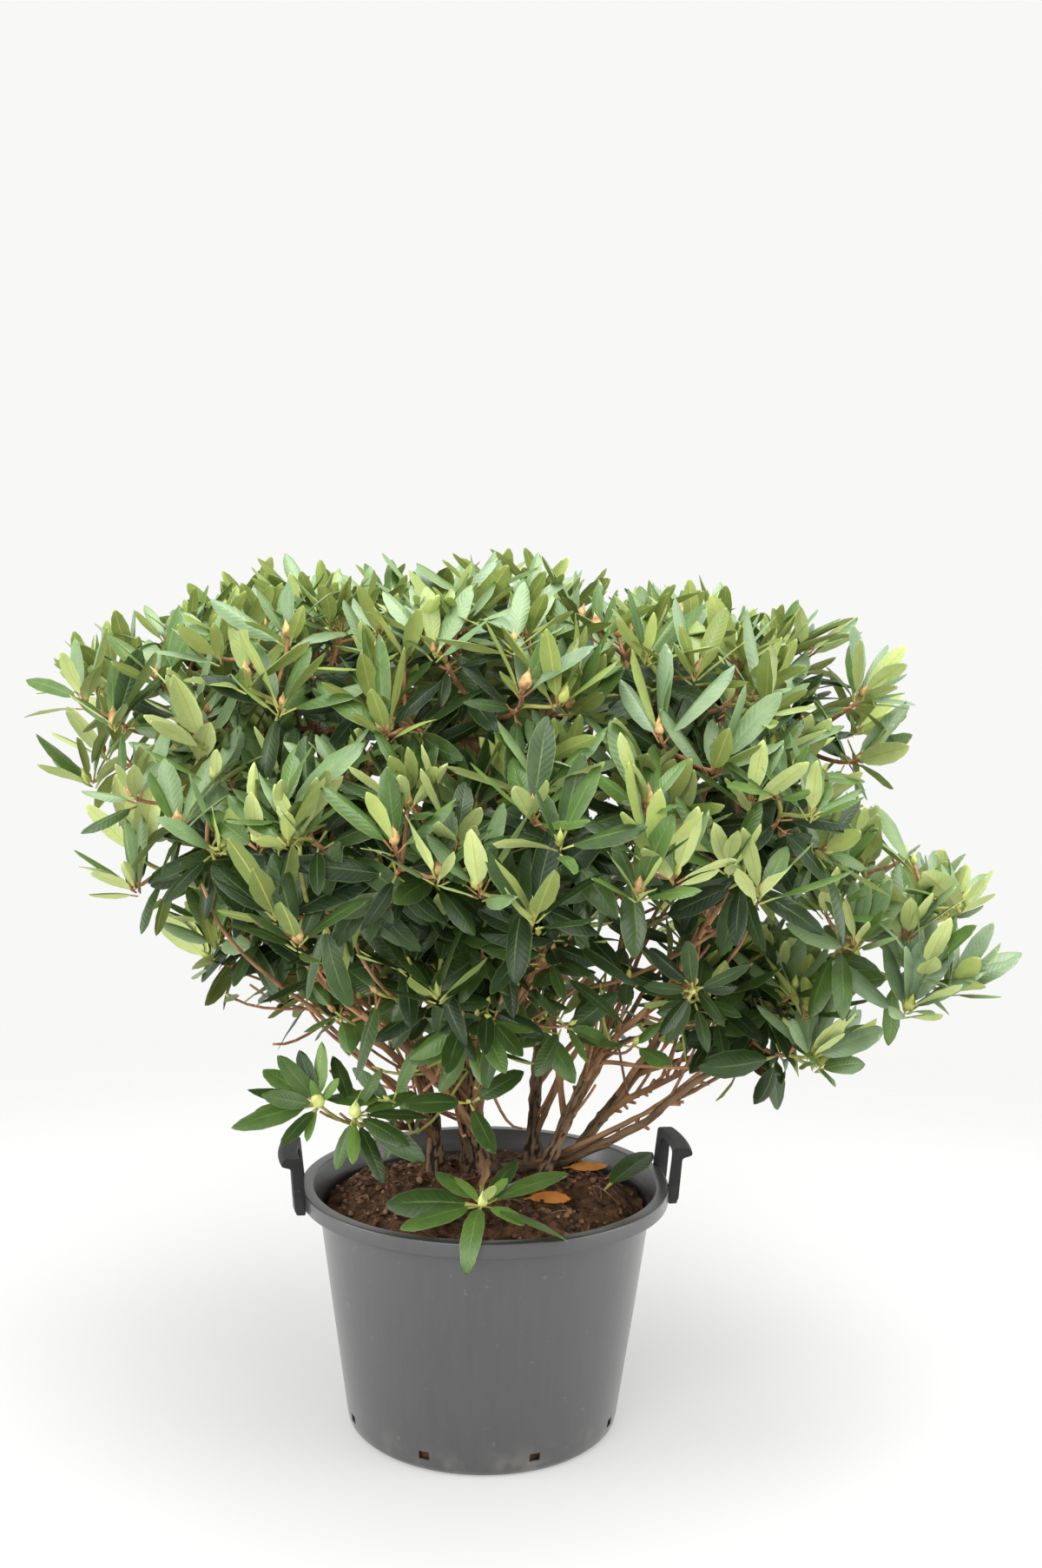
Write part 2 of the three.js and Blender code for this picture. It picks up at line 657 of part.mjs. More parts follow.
function leafGeometry(corners) {
  const faces = [];
  for (let j = 0; j < 3; j += 1) {
    const next = (j + 1) % 3;
    faces.push(j, next, 4, next, j, 3);
  }
  return fromLists(corners, faces);
}

// A leaf is kept where it stays in the mass's space and off the pot.
function leafFits(space, corners) {
  const [left, right, , , tip] = corners;
  return [left, right, tip].every((point) => insideSpace(space, point) && clearOfPot(point));
}

function touches(solid, others) {
  const own = solid.boundingBox();
  return others.some((other) => {
    const box = other.boundingBox();
    const apart = [0, 1, 2].some((i) => own.min[i] > box.max[i] || box.min[i] > own.max[i]);
    return !apart && !solid.intersect(other).isEmpty();
  });
}

// The corners of one leaf of a whorl, turned about the shoot and opened out from it.
function whorlLeaf(shoot, turn, open, length) {
  const side = squareTo(shoot.axis);
  const other = new THREE.Vector3().crossVectors(shoot.axis, side);
  const out = side.multiplyScalar(Math.cos(turn)).addScaledVector(other, Math.sin(turn));
  const way = blend(shoot.axis, Math.cos(open), out, Math.sin(open));
  const face = shoot.axis.clone().addScaledVector(way, -shoot.axis.dot(way)).normalize();
  const foot = shoot.points[1].clone()
    .addScaledVector(shoot.points[1].clone().sub(shoot.points[0]).normalize(), -LEAF_DROP)
    .addScaledVector(out, LEAF_SPRING);
  return leafCorners(foot, way, face, length);
}

// A whorl round the shoot's end: open and level low down, more upright on top. A leaf is
// tried at a few turns and lengths, and left out where it would touch what is there.
function growWhorl(space, shoot, others, random) {
  const openness = radians(THREE.MathUtils.mapLinear(
    space.mass.height, OPENNESS.lowAt, OPENNESS.highAt, OPENNESS.low, OPENNESS.high,
  ));
  const leaves = [];
  for (let m = 0; m < LEAVES_IN_WHORL; m += 1) {
    const turn = shoot.phase + (TURN * (m + (random() - 0.5) * 0.3)) / LEAVES_IN_WHORL;
    const open = openness + (random() - 0.5) * 0.35;
    const length = LEAF_LENGTH * (0.85 + random() * 0.25);
    const tries = LEAF_TRIMS.flatMap((trim) => LEAF_TURNS.map((extra) => (
      whorlLeaf(shoot, turn + extra, open, length * trim))));
    const leaf = tries.filter((corners) => leafFits(space, corners))
      .map((corners) => toSolid(leafGeometry(corners)))
      .find((solid) => !touches(solid, [...others, ...leaves]));
    if (leaf) leaves.push(leaf);
  }
  return leaves;
}

function shootFits(space, limbs, shoot) {
  const [start, end] = shoot.points;
  const bud = end.clone().addScaledVector(shoot.axis, BUD_LENGTH);
  if (![end, bud].every((point) => insideSpace(space, point) && clearOfPot(point))) return false;
  return clearOfLimbs(limbs, start, end, SHOOT_RADIUS) && clearOfLimbs(limbs, end, bud, BUD_RADIUS);
}

function growShoots(space, limbs, stem, random) {
  const shoots = [];
  for (let k = 0; k < SHOOTS_IN_MASS; k += 1) {
    const draws = [random(), random(), random(), random()];
    const shoot = SHOOT_PULLS
      .map((pull) => growShoot(space, stem, k, SHOOTS_IN_MASS, draws, pull))
      .find((each) => shootFits(space, limbs, each));
    if (shoot) shoots.push(shoot);
  }
  return shoots;
}

// One mass: its stem, its shoots and their leaves, none of which touches another limb.
function makeMass(mass, limbs, shields, index) {
  const random = makeRandom(GROWTH_SEED + index);
  const space = makeSpace(mass);
  const stem = massStem(space, limbs.find((each) => each.mass === mass));
  const stemRadii = stem.map((point, i) => (
    THREE.MathUtils.lerp(MASS_STEM_RADIUS, MASS_STEM_TIP, i / MASS_STEM_STEPS)));
  const stemSolid = toSolid(tubeGeometry(stem, stemRadii, 4));
  const shoots = growShoots(space, limbs, stem, random);
  const wood = shoots.map((shoot) => toSolid(shootGeometry(shoot)));
  const leaves = [];
  shoots.forEach((shoot, k) => {
    const others = [...shields, stemSolid, ...wood.filter((solid, i) => i !== k), ...leaves];
    leaves.push(...growWhorl(space, shoot, others, random));
  });
  return toGeometry(wasm.Manifold.union([stemSolid, ...wood, ...leaves]));
}

// ---------------------------------------------------------------- assembly

const limbs = growLimbs();
const shields = [rimShield(), ...limbs.map((limb) => limbSolid(limb, LIMB_MARGIN))];
const group = new THREE.Group();
group.add(makeMesh('pot', makePot(), POT_PLASTIC));
group.add(makeMesh('handle_right', makeHandle(HANDLE_TURN), POT_PLASTIC));
group.add(makeMesh('handle_left', makeHandle(HANDLE_TURN + 180), POT_PLASTIC));
group.add(makeMesh('compost', makeCompost(), COMPOST));
limbs.forEach((limb) => {
  group.add(makeMesh(limb.name, makeLimb(limb), limb.parent ? BOUGH_BARK : BARK));
});
CROWN.forEach((mass, index) => {
  group.add(makeMesh(`foliage_${mass.name}`, makeMass(mass, limbs, shields, index), FOLIAGE));
});

export default group;
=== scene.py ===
"""A rhododendron in its round nursery pot, dressed over its solids.

Metres, +Z up, +Y to the back, origin under the middle of the pot. Stems, boughs, the stem of each
mass of foliage and its six shoots grow by the same seeded rule as the solids. Here the shoots carry
on into finer twigs, each with whorls of leaves and a bud, within the same spaces.
"""

import json
import math
from collections import namedtuple

import bpy
import numpy as np
from mathutils import Matrix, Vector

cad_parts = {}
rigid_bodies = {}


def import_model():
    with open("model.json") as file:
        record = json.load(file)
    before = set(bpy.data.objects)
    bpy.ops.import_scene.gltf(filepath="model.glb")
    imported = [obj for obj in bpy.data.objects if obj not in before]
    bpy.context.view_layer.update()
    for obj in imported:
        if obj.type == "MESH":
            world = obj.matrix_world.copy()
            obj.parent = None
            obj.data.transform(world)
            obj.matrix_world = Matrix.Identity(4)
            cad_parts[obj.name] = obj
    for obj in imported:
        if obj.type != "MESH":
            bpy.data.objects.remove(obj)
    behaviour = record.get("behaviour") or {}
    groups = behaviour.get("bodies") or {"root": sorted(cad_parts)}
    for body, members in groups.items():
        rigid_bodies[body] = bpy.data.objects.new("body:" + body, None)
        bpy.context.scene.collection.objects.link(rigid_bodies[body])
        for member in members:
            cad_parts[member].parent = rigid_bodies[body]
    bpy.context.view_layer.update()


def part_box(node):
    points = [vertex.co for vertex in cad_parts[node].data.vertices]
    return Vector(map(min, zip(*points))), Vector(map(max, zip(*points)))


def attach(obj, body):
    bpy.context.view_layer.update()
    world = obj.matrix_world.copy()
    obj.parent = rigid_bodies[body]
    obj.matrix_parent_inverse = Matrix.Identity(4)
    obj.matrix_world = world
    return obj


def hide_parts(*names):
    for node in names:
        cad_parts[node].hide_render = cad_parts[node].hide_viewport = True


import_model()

TURN = 2 * math.pi
UP = np.array([0.0, 0.0, 1.0])
EAST = np.array([1.0, 0.0, 0.0])

# ---- sizes

POT_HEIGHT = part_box("pot")[1].z
FLANGE_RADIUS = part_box("pot")[1].x
COMPOST_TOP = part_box("compost")[1].z
COMPOST_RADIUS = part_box("compost")[1].x
HANDLE_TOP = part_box("handle_right")[1].z
HANDLE_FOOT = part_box("handle_right")[0].z

# The pot's outline and its drain holes
FOOT_RADIUS = 0.208
HEEL_RADIUS = 0.220
HEEL_HEIGHT = 0.020
NECK_RADIUS = 0.268
NECK_HEIGHT = 0.362
LIP_DROP = 0.024
RIM_WIDTH = 0.019
POT_WALL = 0.0045
POT_FLOOR = 0.006
POT_SIDES = 240
DRAINS = 8
DRAIN_WIDTH = 0.017
DRAIN_HEIGHT = 0.013
DRAIN_LEVEL = 0.022
HUB_RADIUS = 0.004
POT_BEND = 0.0025
POT_SPACING = 0.018
POT_SWELL = 0.0007

# The handles: hooded straps that follow the rim
HANDLE_TURN = 8
HANDLE_SPAN = 0.120
HANDLE_LEG = 0.017
HANDLE_GRIP = 0.011
HANDLE_THICK = 0.014
HANDLE_LEAN = 0.006
HANDLE_OVERHANG = 0.017
HANDLE_RINGS = 25
HANDLE_BEND = 0.0045
HANDLE_SPACING = 0.012
HANDLE_EDGE = 0.0016
HANDLE_ARCH = 0.016

# The compost: heights at the wall and halfway in, the mound, and the lumps
COMPOST_EDGE = 0.356
COMPOST_SHOULDER = 0.376
MOUND_RADIUS = 0.172
COMPOST_SIDES = 300
COMPOST_RINGS = 110
LUMP_SIZE = 0.034
LUMP_HEIGHT = 0.011

# Limbs, from the compost or a fork to where they enter a mass
FIT = 0.0003
LIMB_STEPS = 8
LIMB_TIP_RADIUS = 0.004
LIMB_WANDER = 0.011
LIMB_TURNS = (1.6, 1.2)
LIMB_LEAVES = 0.36
LIMB_ARRIVES = 0.3
BOUGH_SLIMNESS = 0.72
STEM_FLARE = 0.55

# Shoots of a mass: how they fan and face, and the gaps that they keep
SHOOTS_IN_MASS = 6
SHOOT_DEPTH = 0.5
SHOOT_PULLS = (1, 0.8, 0.62)
SHOOT_SPREAD = 112
SHOOT_SPACING = 0.72
GOLDEN_TURN = math.pi * (3 - math.sqrt(5))
MASS_ENTRY = 0.46
MASS_HEART = 0.12
CORE = np.array([0, 0.040, 0])
CORE_REACH = 0.520
CORE_HEIGHT = 1.500
LIFT_FROM = 0.440
LIFT_OVER = 1.800
SPACE_MARGIN = 0.002
LIMB_MARGIN = 0.002
POT_MARGIN = 0.006
HANDLE_SIDE = 0.240
BUD_LENGTH = 0.022
BUD_RADIUS = 0.006
SHOOT_RADIUS = 0.0021

# Seeds: the growth rule's own, then those of what only the dressing has
GROWTH_SEED = 1817
STEM_SEED = 3 * GROWTH_SEED
BOUGH_SEED = 5 * GROWTH_SEED
ROD_SEED = 7 * GROWTH_SEED
ROD_DRAWS = 71
SIDE_TWIG_DRAWS = 97
LITTER_DRAWS = 5

# Twigs and leaves, and the notch above the right wing, where the crown steps in
TWIG_LENGTH = 0.100
TWIG_PULLS = (1, 0.78, 0.56, 0.38)
TWIG_SPREAD = 64
TWIG_LIMIT = 0.80
TWIG_RINGS = 7
TWIG_SIDES = 6
TWIG_SPARE = 0.012
TWIG_GAP = 0.006
LEAF_LIMIT = 1.10
LEAF_GAPS = (0.003, 0.001)
LEAF_LENGTH = 0.120
LEAF_TRIMS = (1, 0.86, 0.72)
CROWN_LEVELS = (0.45, 0.80, 1.22)
PALE_FROM = 0.36
BARE_FROM = 0.50
OPEN_FROM = 1.02
TWIG_REACH = 0.45
LEAF_REACH = 0.55
NOTCH_FOOT = 0.94
NOTCH_LEAN = 0.75
NOTCH_DEPTH = 0.12

# Radii of each kind of twig, at its foot and at its tip
HEART_TWIG = (0.0050, 0.0040)
SHOOT_TWIG = (0.0040, 0.0034)
TIP_TWIG = (0.0033, 0.0028)
SPRAY_TWIG = (0.0034, 0.0026)
SIDE_TWIG = (0.0029, 0.0021)
STUB_TWIG = (0.0036, 0.0026)

Stem = namedtuple("Stem", "name x y radius lean rise bears")
STEMS = [
    Stem("stem_middle", 0.008, 0.020, 0.013, -150, 72, "upper_front"),
    Stem("stem_dark", -0.025, 0.098, 0.012, 170, 80, "crown_top"),
    Stem("stem_left", -0.082, 0.072, 0.012, 90, 78, "upper_left"),
    Stem("stem_right", 0.088, 0.008, 0.011, 0, 66, "upper_right"),
    Stem("stem_back", 0.076, 0.118, 0.011, 80, 76, "upper_back_right"),
    Stem("stem_far_right", 0.134, 0.104, 0.010, 15, 52, "right_shoulder"),
    Stem("stem_low", 0.034, 0.072, 0.0085, -16, 10, "right_wing"),
]

Mass = namedtuple("Mass", "name bearing reach height wide tall source fork", defaults=(None, 0))
CROWN = [
    Mass("crown_top", 90, 0.020, 1.215, 0.225, 0.185),
    Mass("upper_front", -92, 0.300, 1.165, 0.225, 0.180),
    Mass("upper_front_left", -138, 0.350, 1.170, 0.225, 0.180, "stem_dark", 0.36),
    Mass("upper_left", 170, 0.340, 1.190, 0.230, 0.190),
    Mass("upper_back_left", 124, 0.390, 1.200, 0.230, 0.185, "stem_dark", 0.5),
    Mass("upper_back_right", 62, 0.375, 1.190, 0.230, 0.185),
    Mass("upper_right", 12, 0.300, 1.165, 0.225, 0.185),
    Mass("upper_front_right", -48, 0.345, 1.160, 0.225, 0.180, "stem_right", 0.5),
    Mass("outer_left", 180, 0.500, 1.115, 0.230, 0.195, "stem_left", 0.42),
    Mass("outer_front_left", -147, 0.432, 0.965, 0.230, 0.185, "stem_middle", 0.1),
    Mass("front_left", -111, 0.425, 0.960, 0.225, 0.185, "stem_middle", 0.38),
    Mass("front_right", -75, 0.430, 0.980, 0.225, 0.185, "stem_middle", 0.2),
    Mass("outer_front_right", -37, 0.465, 0.985, 0.230, 0.185, "stem_right", 0.24),
    Mass("right_wing", -5, 0.588, 0.815, 0.230, 0.190),
    Mass("right_shoulder", 6, 0.505, 1.130, 0.225, 0.185),
    Mass("outer_back_right", 38, 0.535, 0.985, 0.235, 0.190, "stem_far_right", 0.34),
    Mass("outer_back", 90, 0.430, 1.000, 0.235, 0.190, "stem_back", 0.4),
    Mass("outer_back_left", 140, 0.530, 0.975, 0.235, 0.190, "stem_left", 0.28),
    Mass("low_left", 182, 0.320, 0.810, 0.200, 0.165, "stem_left", 0.16),
    Mass("low_front", -95, 0.230, 0.825, 0.200, 0.145, "stem_middle", 0.3),
    Mass("low_right", -4, 0.410, 0.680, 0.205, 0.160, "stem_far_right", 0.12),
    Mass("low_back", 78, 0.290, 0.825, 0.205, 0.160, "stem_back", 0.2),
    Mass("spray_left", -149, 0.275, 0.545, 0.195, 0.125, "stem_left", 0.07),
    Mass("spray_rim", -92, 0.205, 0.432, 0.180, 0.090, "stem_middle", 0.035),
]
TIERS = {
    "top_front": CROWN[0:4],
    "top_back": CROWN[4:8],
    "front_left": CROWN[8:11],
    "front_right": CROWN[11:14],
    "back": CROWN[14:18],
    "low": CROWN[18:],
}

# ---- camera, light and floor

CAMERA_PLACE = (0.048, -2.763, 1.309)
CAMERA_PITCH = 5.54
CAMERA_ROLL = 0.87
CAMERA_LENS = 40.15
SENSOR = 36
FLOOR_HALF = 6
FLOOR_FADES = (1.5, 2.9)
LAMP_AIM = np.array([0, 0, 0.8])

Softbox = namedtuple("Softbox", "name place size power")
SOFTBOXES = [
    Softbox("softbox_above", (0.3, -0.6, 3.6), 3.0, 190),
    Softbox("softbox_front", (-1.5, -3.8, 2.1), 2.6, 110),
    Softbox("softbox_left", (-2.7, -0.7, 1.1), 1.8, 48),
    Softbox("softbox_right", (2.7, -0.7, 1.1), 1.8, 50),
]


def linear(colour):
    """A colour from 0 to 255 a channel as the shader's linear numbers, with full alpha."""
    shares = np.array(colour) / 255
    curve = np.where(shares <= 0.04045, shares / 12.92, ((shares + 0.055) / 1.055) ** 2.4)
    return (*curve.tolist(), 1.0)


def link(name, data):
    """A new object of this name in the scene."""
    holder = bpy.data.objects.new(name, data)
    bpy.context.scene.collection.objects.link(holder)
    return holder


class Signal:
    """A shader socket that takes arithmetic: each operation on it adds a Math node."""

    def __init__(self, finish, socket):
        self.finish = finish
        self.socket = socket

    def math(self, operation, first, second):
        return self.finish.node("ShaderNodeMath", {"operation": operation}, {0: first, 1: second})

    def __add__(self, other):
        return self.math("ADD", self, other)

    __radd__ = __add__

    def __mul__(self, other):
        return self.math("MULTIPLY", self, other)

    __rmul__ = __mul__

    def __sub__(self, other):
        return self.math("SUBTRACT", self, other)

    def __rsub__(self, other):
        return self.math("SUBTRACT", other, self)

    def __abs__(self):
        return self.math("ABSOLUTE", self, 0.0)


class Finish:
    """A material: the sockets that are the same all over, and the nodes for what varies."""

    def __init__(self, name, constants):
        self.material = bpy.data.materials.new(name)
        self.material.use_nodes = True
        self.tree = self.material.node_tree
        self.shader = self.tree.nodes["Principled BSDF"]
        for socket, value in constants.items():
            self.shader.inputs[socket].default_value = value
        self.place = self.node("ShaderNodeTexCoord", {}, {}, "Object")

    def node(self, kind, settings, inputs, output=0):
        """Adds a node: its settings first, then the values or links of its sockets."""
        made = self.tree.nodes.new(kind)
        for name, value in settings.items():
            setattr(made, name, value)
        for name, value in inputs.items():
            if isinstance(value, Signal):
                self.tree.links.new(value.socket, made.inputs[name])
            else:
                made.inputs[name].default_value = value
        return Signal(self, made.outputs[output])

    def feed(self, socket, signal):
        """Leads a signal into one of the shader's own sockets."""
        self.tree.links.new(signal.socket, self.shader.inputs[socket])

    def stretched(self, factors, place=None):
        """The place, or a given vector, times a factor along each axis."""
        inputs = {0: place or self.place, 1: factors}
        return self.node("ShaderNodeVectorMath", {"operation": "MULTIPLY"}, inputs)

    def attribute(self, name, output=1):
        """A named value of the mesh: its colour, vector or number, by the output."""
        return self.node("ShaderNodeAttribute", {"attribute_name": name}, {}, output)

    def parts(self, vector):
        """The three numbers of a vector."""
        first = self.node("ShaderNodeSeparateXYZ", {}, {0: vector})
        return [Signal(self, socket) for socket in first.socket.node.outputs]

    def length(self, vector):
        """How long a vector is."""
        return self.node("ShaderNodeVectorMath", {"operation": "LENGTH"}, {0: vector}, 1)

    def sine(self, signal):
        return signal.math("SINE", signal, 0.0)

    def noise(self, scale, detail=2.0, place=None, roughness=0.5):
        """Smooth noise from 0 to 1, with `scale` grains to the metre of the place."""
        inputs = {"Vector": place or self.place, "Scale": scale, "Detail": detail, "Roughness": roughness}
        return self.node("ShaderNodeTexNoise", {}, inputs)

    def ease(self, signal, low, high):
        """0 below low, 1 above high, and smooth between."""
        settings = {"interpolation_type": "SMOOTHSTEP"}
        return self.node("ShaderNodeMapRange", settings, {"Value": signal, 1: low, 2: high})

    def between(self, factor, low, high):
        """A colour between two, by the factor. Each is a signal, or numbers from 0 to 255."""
        low, high = [each if isinstance(each, Signal) else linear(each) for each in (low, high)]
        settings = {"data_type": "RGBA"}
        return self.node("ShaderNodeMix", settings, {0: factor, 6: low, 7: high}, 2)

    def relief(self, height, distance, strength=1.0):
        """Fine relief that only bends the light: a height of 1 stands for the distance."""
        inputs = {"Height": height, "Distance": distance, "Strength": strength}
        self.feed("Normal", self.node("ShaderNodeBump", {}, inputs))


def set_stage():
    """A pale floor that fades into the pale surroundings and glows a little, as painted light that
    fills the shadows on it, and soft light from above, from the front and from both sides."""
    # The floor's glow is painted light that fills the shadows on it
    pale = {"Base Color": linear((158, 158, 157)), "Roughness": 0.75, "Emission Strength": 0.33}
    finish = Finish("pale_floor", pale)
    finish.feed("Alpha", 1 - finish.ease(finish.length(finish.place), *FLOOR_FADES))
    mesh = bpy.data.meshes.new("floor")
    signs = ((-1, -1), (1, -1), (1, 1), (-1, 1))
    mesh.from_pydata([(x * FLOOR_HALF, y * FLOOR_HALF, 0) for x, y in signs], [], [(0, 1, 2, 3)])
    mesh.materials.append(finish.material)
    floor = link("floor", mesh)

    world = bpy.data.worlds.new("studio")
    world.use_nodes = True
    sky = world.node_tree.nodes["Background"]
    sky.inputs["Color"].default_value = linear((248, 248, 247))
    sky.inputs["Strength"].default_value = 1.0
    bpy.context.scene.world = world
    for box in SOFTBOXES:
        lamp = bpy.data.lights.new(box.name, "AREA")
        lamp.shape = "SQUARE"
        lamp.size = box.size
        lamp.energy = box.power
        back = unit(np.array(box.place) - LAMP_AIM)
        side = square_to(back)
        turn = Matrix(np.stack([np.cross(side, back), side, back], axis=1).tolist())
        link(box.name, lamp).matrix_world = Matrix.Translation(box.place) @ turn.to_4x4()


def set_camera():
    """The camera, pitched down from the level and rolled a little about its own line of sight."""
    camera = bpy.data.cameras.new("camera")
    camera.lens = CAMERA_LENS
    camera.sensor_width = SENSOR
    tilt = Matrix.Rotation(math.radians(90 - CAMERA_PITCH), 4, "X")
    roll = Matrix.Rotation(math.radians(CAMERA_ROLL), 4, "Z")
    holder = link("camera", camera)
    holder.matrix_world = Matrix.Translation(CAMERA_PLACE) @ tilt @ roll
    bpy.context.scene.camera = holder
    bpy.context.scene.view_settings.view_transform = "Standard"


# ---- vectors and noise


def unit(vectors):
    """The vectors, each scaled to a length of one."""
    return vectors / np.linalg.norm(vectors, axis=-1, keepdims=True)


def dot(a, b):
    """The scalar product along the last axis, which is kept."""
    return (a * b).sum(-1, keepdims=True)


def joined(*parts):
    """Numbers, or arrays of them, side by side as one array of points."""
    return np.stack(np.broadcast_arrays(*parts), -1)


def ring_angles(sides):
    """The angle of each corner of a ring, evenly spaced."""
    return TURN * np.arange(sides) / sides


def square_to(axis):
    """A unit vector square to each axis: across UP, or across +X where the axis stands upright."""
    guide = np.where(np.abs(axis[..., 2:]) < 0.9, UP, EAST)
    return unit(np.cross(axis, guide))


def heading(bearing, rise):
    """The unit vector at a bearing in degrees from +X towards +Y, raised by `rise` degrees."""
    level = math.cos(math.radians(rise))
    turn = math.radians(bearing)
    return np.array([level * math.cos(turn), level * math.sin(turn), math.sin(math.radians(rise))])


def bezier(corners, share):
    """A point on the Bézier curve of these corners: pairs of corners are mixed until one is left."""
    while len(corners) > 1:
        corners = [a + (b - a) * share for a, b in zip(corners, corners[1:])]
    return corners[0]


def smooth_path(points, steps):
    """A curve through the points: between two, a cubic whose slopes come from their neighbours."""
    slopes = np.gradient(points, axis=0)
    at = np.linspace(0, len(points) - 1, steps)
    step = np.minimum(at.astype(int), len(points) - 2)
    share = (at - step)[:, None]
    start, end = points[step], points[step + 1]
    corners = [start, start + slopes[step] / 3, end - slopes[step + 1] / 3, end]
    return bezier(corners, share)


def grain(points, seed=0):
    """Smooth noise from -1 to 1: a hashed number at each corner of a unit lattice, eased between."""
    cell = np.floor(points).astype(np.int64)
    part = points - cell
    ease = part * part * (3 - 2 * part)
    total = np.zeros(points.shape[:-1])
    for corner in np.ndindex(2, 2, 2):
        offset = np.array(corner)
        key = (cell + offset) @ np.array([374761393, 668265263, 1440662683]) + seed * 1274126177
        key = (key ^ (key >> 13)) * 1103515245
        value = ((key ^ (key >> 16)) & 0xFFFF) / 32767.5 - 1
        total += value * np.prod(np.where(offset == 1, ease, 1 - ease), axis=-1)
    return total


def rough_grain(points, octaves, seed=0):
    """Layers of grain, each twice as fine and half as strong as the one before."""
    return sum(grain(points * 2.0**i, seed + i) * 0.5**i for i in range(octaves))


# ---- forms and pieces


def tube_faces(rings, sides):
    """Quads between the rings of a tube, and triangles from its two poles to the end rings.

    Corner 0 is the first pole, the last corner is the other, and ring i starts at 1 + i * sides.
    """
    ring = np.arange(sides)
    after = np.roll(ring, -1)
    start = 1 + sides * np.arange(rings - 1)[:, None]
    corners = [start + ring, start + after, start + sides + after, start + sides + ring]
    last = 1 + sides * (rings - 1)
    foot = np.stack([0 * ring, 1 + after, 1 + ring], -1)
    tip = np.stack([last + ring, last + after, 0 * ring + last + sides], -1)
    return [np.stack(corners, -1).reshape(-1, 4), np.concatenate([foot, tip])]


def tube_points(paths, radii, sides):
    """A tube about each path: at each of its points a ring of corners square to the path.

    paths is (tubes, rings, 3) and radii (tubes, rings) or (tubes, rings, sides). The rings hold one
    guide square to the whole path, so the tube doesn't twist. Its poles are the path's end points.
    """
    along = unit(np.gradient(paths, axis=1))
    guide = square_to(unit(paths[:, -1] - paths[:, 0]))[:, None]
    normal = unit(guide - along * dot(guide, along))
    side = np.cross(along, normal)
    angle = ring_angles(sides)[:, None]
    ring = normal[:, :, None] * np.cos(angle) + side[:, :, None] * np.sin(angle)
    radii = np.broadcast_to(radii if radii.ndim == 3 else radii[..., None], ring.shape[:-1])
    grid = paths[:, :, None] + ring * radii[..., None]
    return np.concatenate([paths[:, :1], grid.reshape(len(paths), -1, 3), paths[:, -1:]], axis=1)


def turned_points(radii, heights, sides):
    """A profile turned about the vertical: ring i has radius and height i, which may also vary
    round the ring. The first and last heights are where the poles sit, on the axis."""
    angle = ring_angles(sides)
    radii, heights = [np.reshape(each, (len(each), -1)) for each in (radii, heights)]
    grid = joined(radii * np.cos(angle), radii * np.sin(angle), heights).reshape(-1, 3)
    foot = [[0, 0, heights[0].mean()]]
    tip = [[0, 0, heights[-1].mean()]]
    return np.concatenate([foot, grid, tip])[None]


def mesh_of(name, points, faces, finishes):
    """One mesh, smooth all over, of copies of a shape.

    points is (copies, corners, 3), and faces has an array of quads and one of triangles. finishes
    gives for each of the two a number, or a number per copy and face.
    """
    copies, corners = points.shape[:2]
    first = corners * np.arange(copies)[:, None, None]
    loops = np.concatenate([(rows + first).ravel() for rows in faces])
    kinds = [np.broadcast_to(kind, (copies, len(rows))).ravel() for rows, kind in zip(faces, finishes)]
    sizes = np.repeat([4, 3], [copies * len(rows) for rows in faces])
    mesh = bpy.data.meshes.new(name)
    mesh.vertices.add(copies * corners)
    mesh.vertices.foreach_set("co", points.astype(np.float32).ravel())
    mesh.loops.add(len(loops))
    mesh.loops.foreach_set("vertex_index", loops.astype(np.int32))
    mesh.polygons.add(len(sizes))
    mesh.polygons.foreach_set("loop_start", (np.cumsum(sizes) - sizes).astype(np.int32))
    mesh.polygons.foreach_set("material_index", np.concatenate(kinds).astype(np.int32))
    mesh.polygons.foreach_set("use_smooth", np.ones(len(sizes), bool))
    mesh.update(calc_edges=True)
    return mesh


def tube_mesh(name, points, sides, kinds=0):
    """A mesh of tubes from their corners, all of one finish or each of its own kind."""
    rings = (points.shape[1] - 2) // sides
    kinds = np.reshape(kinds, (-1, 1))
    return mesh_of(name, points, tube_faces(rings, sides), (kinds, kinds))


def with_poles(rows):
    """Values for a tube's corners: the first and last are repeated for its two poles."""
    return np.concatenate([rows[:1], rows, rows[-1:]])


def name_values(mesh, name, values):
    """Gives the mesh's corners a named number or vector each, which its material reads."""
    kind, key = ("FLOAT", "value") if values.ndim == 1 else ("FLOAT_VECTOR", "vector")
    named = mesh.attributes.new(name, kind, "POINT")
    named.data.foreach_set(key, values.astype(np.float32).ravel())


def make_piece(name, mesh, finishes, slot, *nodes):
    """Puts a mesh in the scene: it rides on the one body and stands for the named nodes."""
    for finish in finishes:
        mesh.materials.append(finish.material)
    piece = link(name, mesh)
    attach(piece, "root")
    if nodes:
        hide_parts(*nodes)


SHARP_ANGLE = 38
BEVEL_ANGLE = 40
BEVEL_STEPS = 3


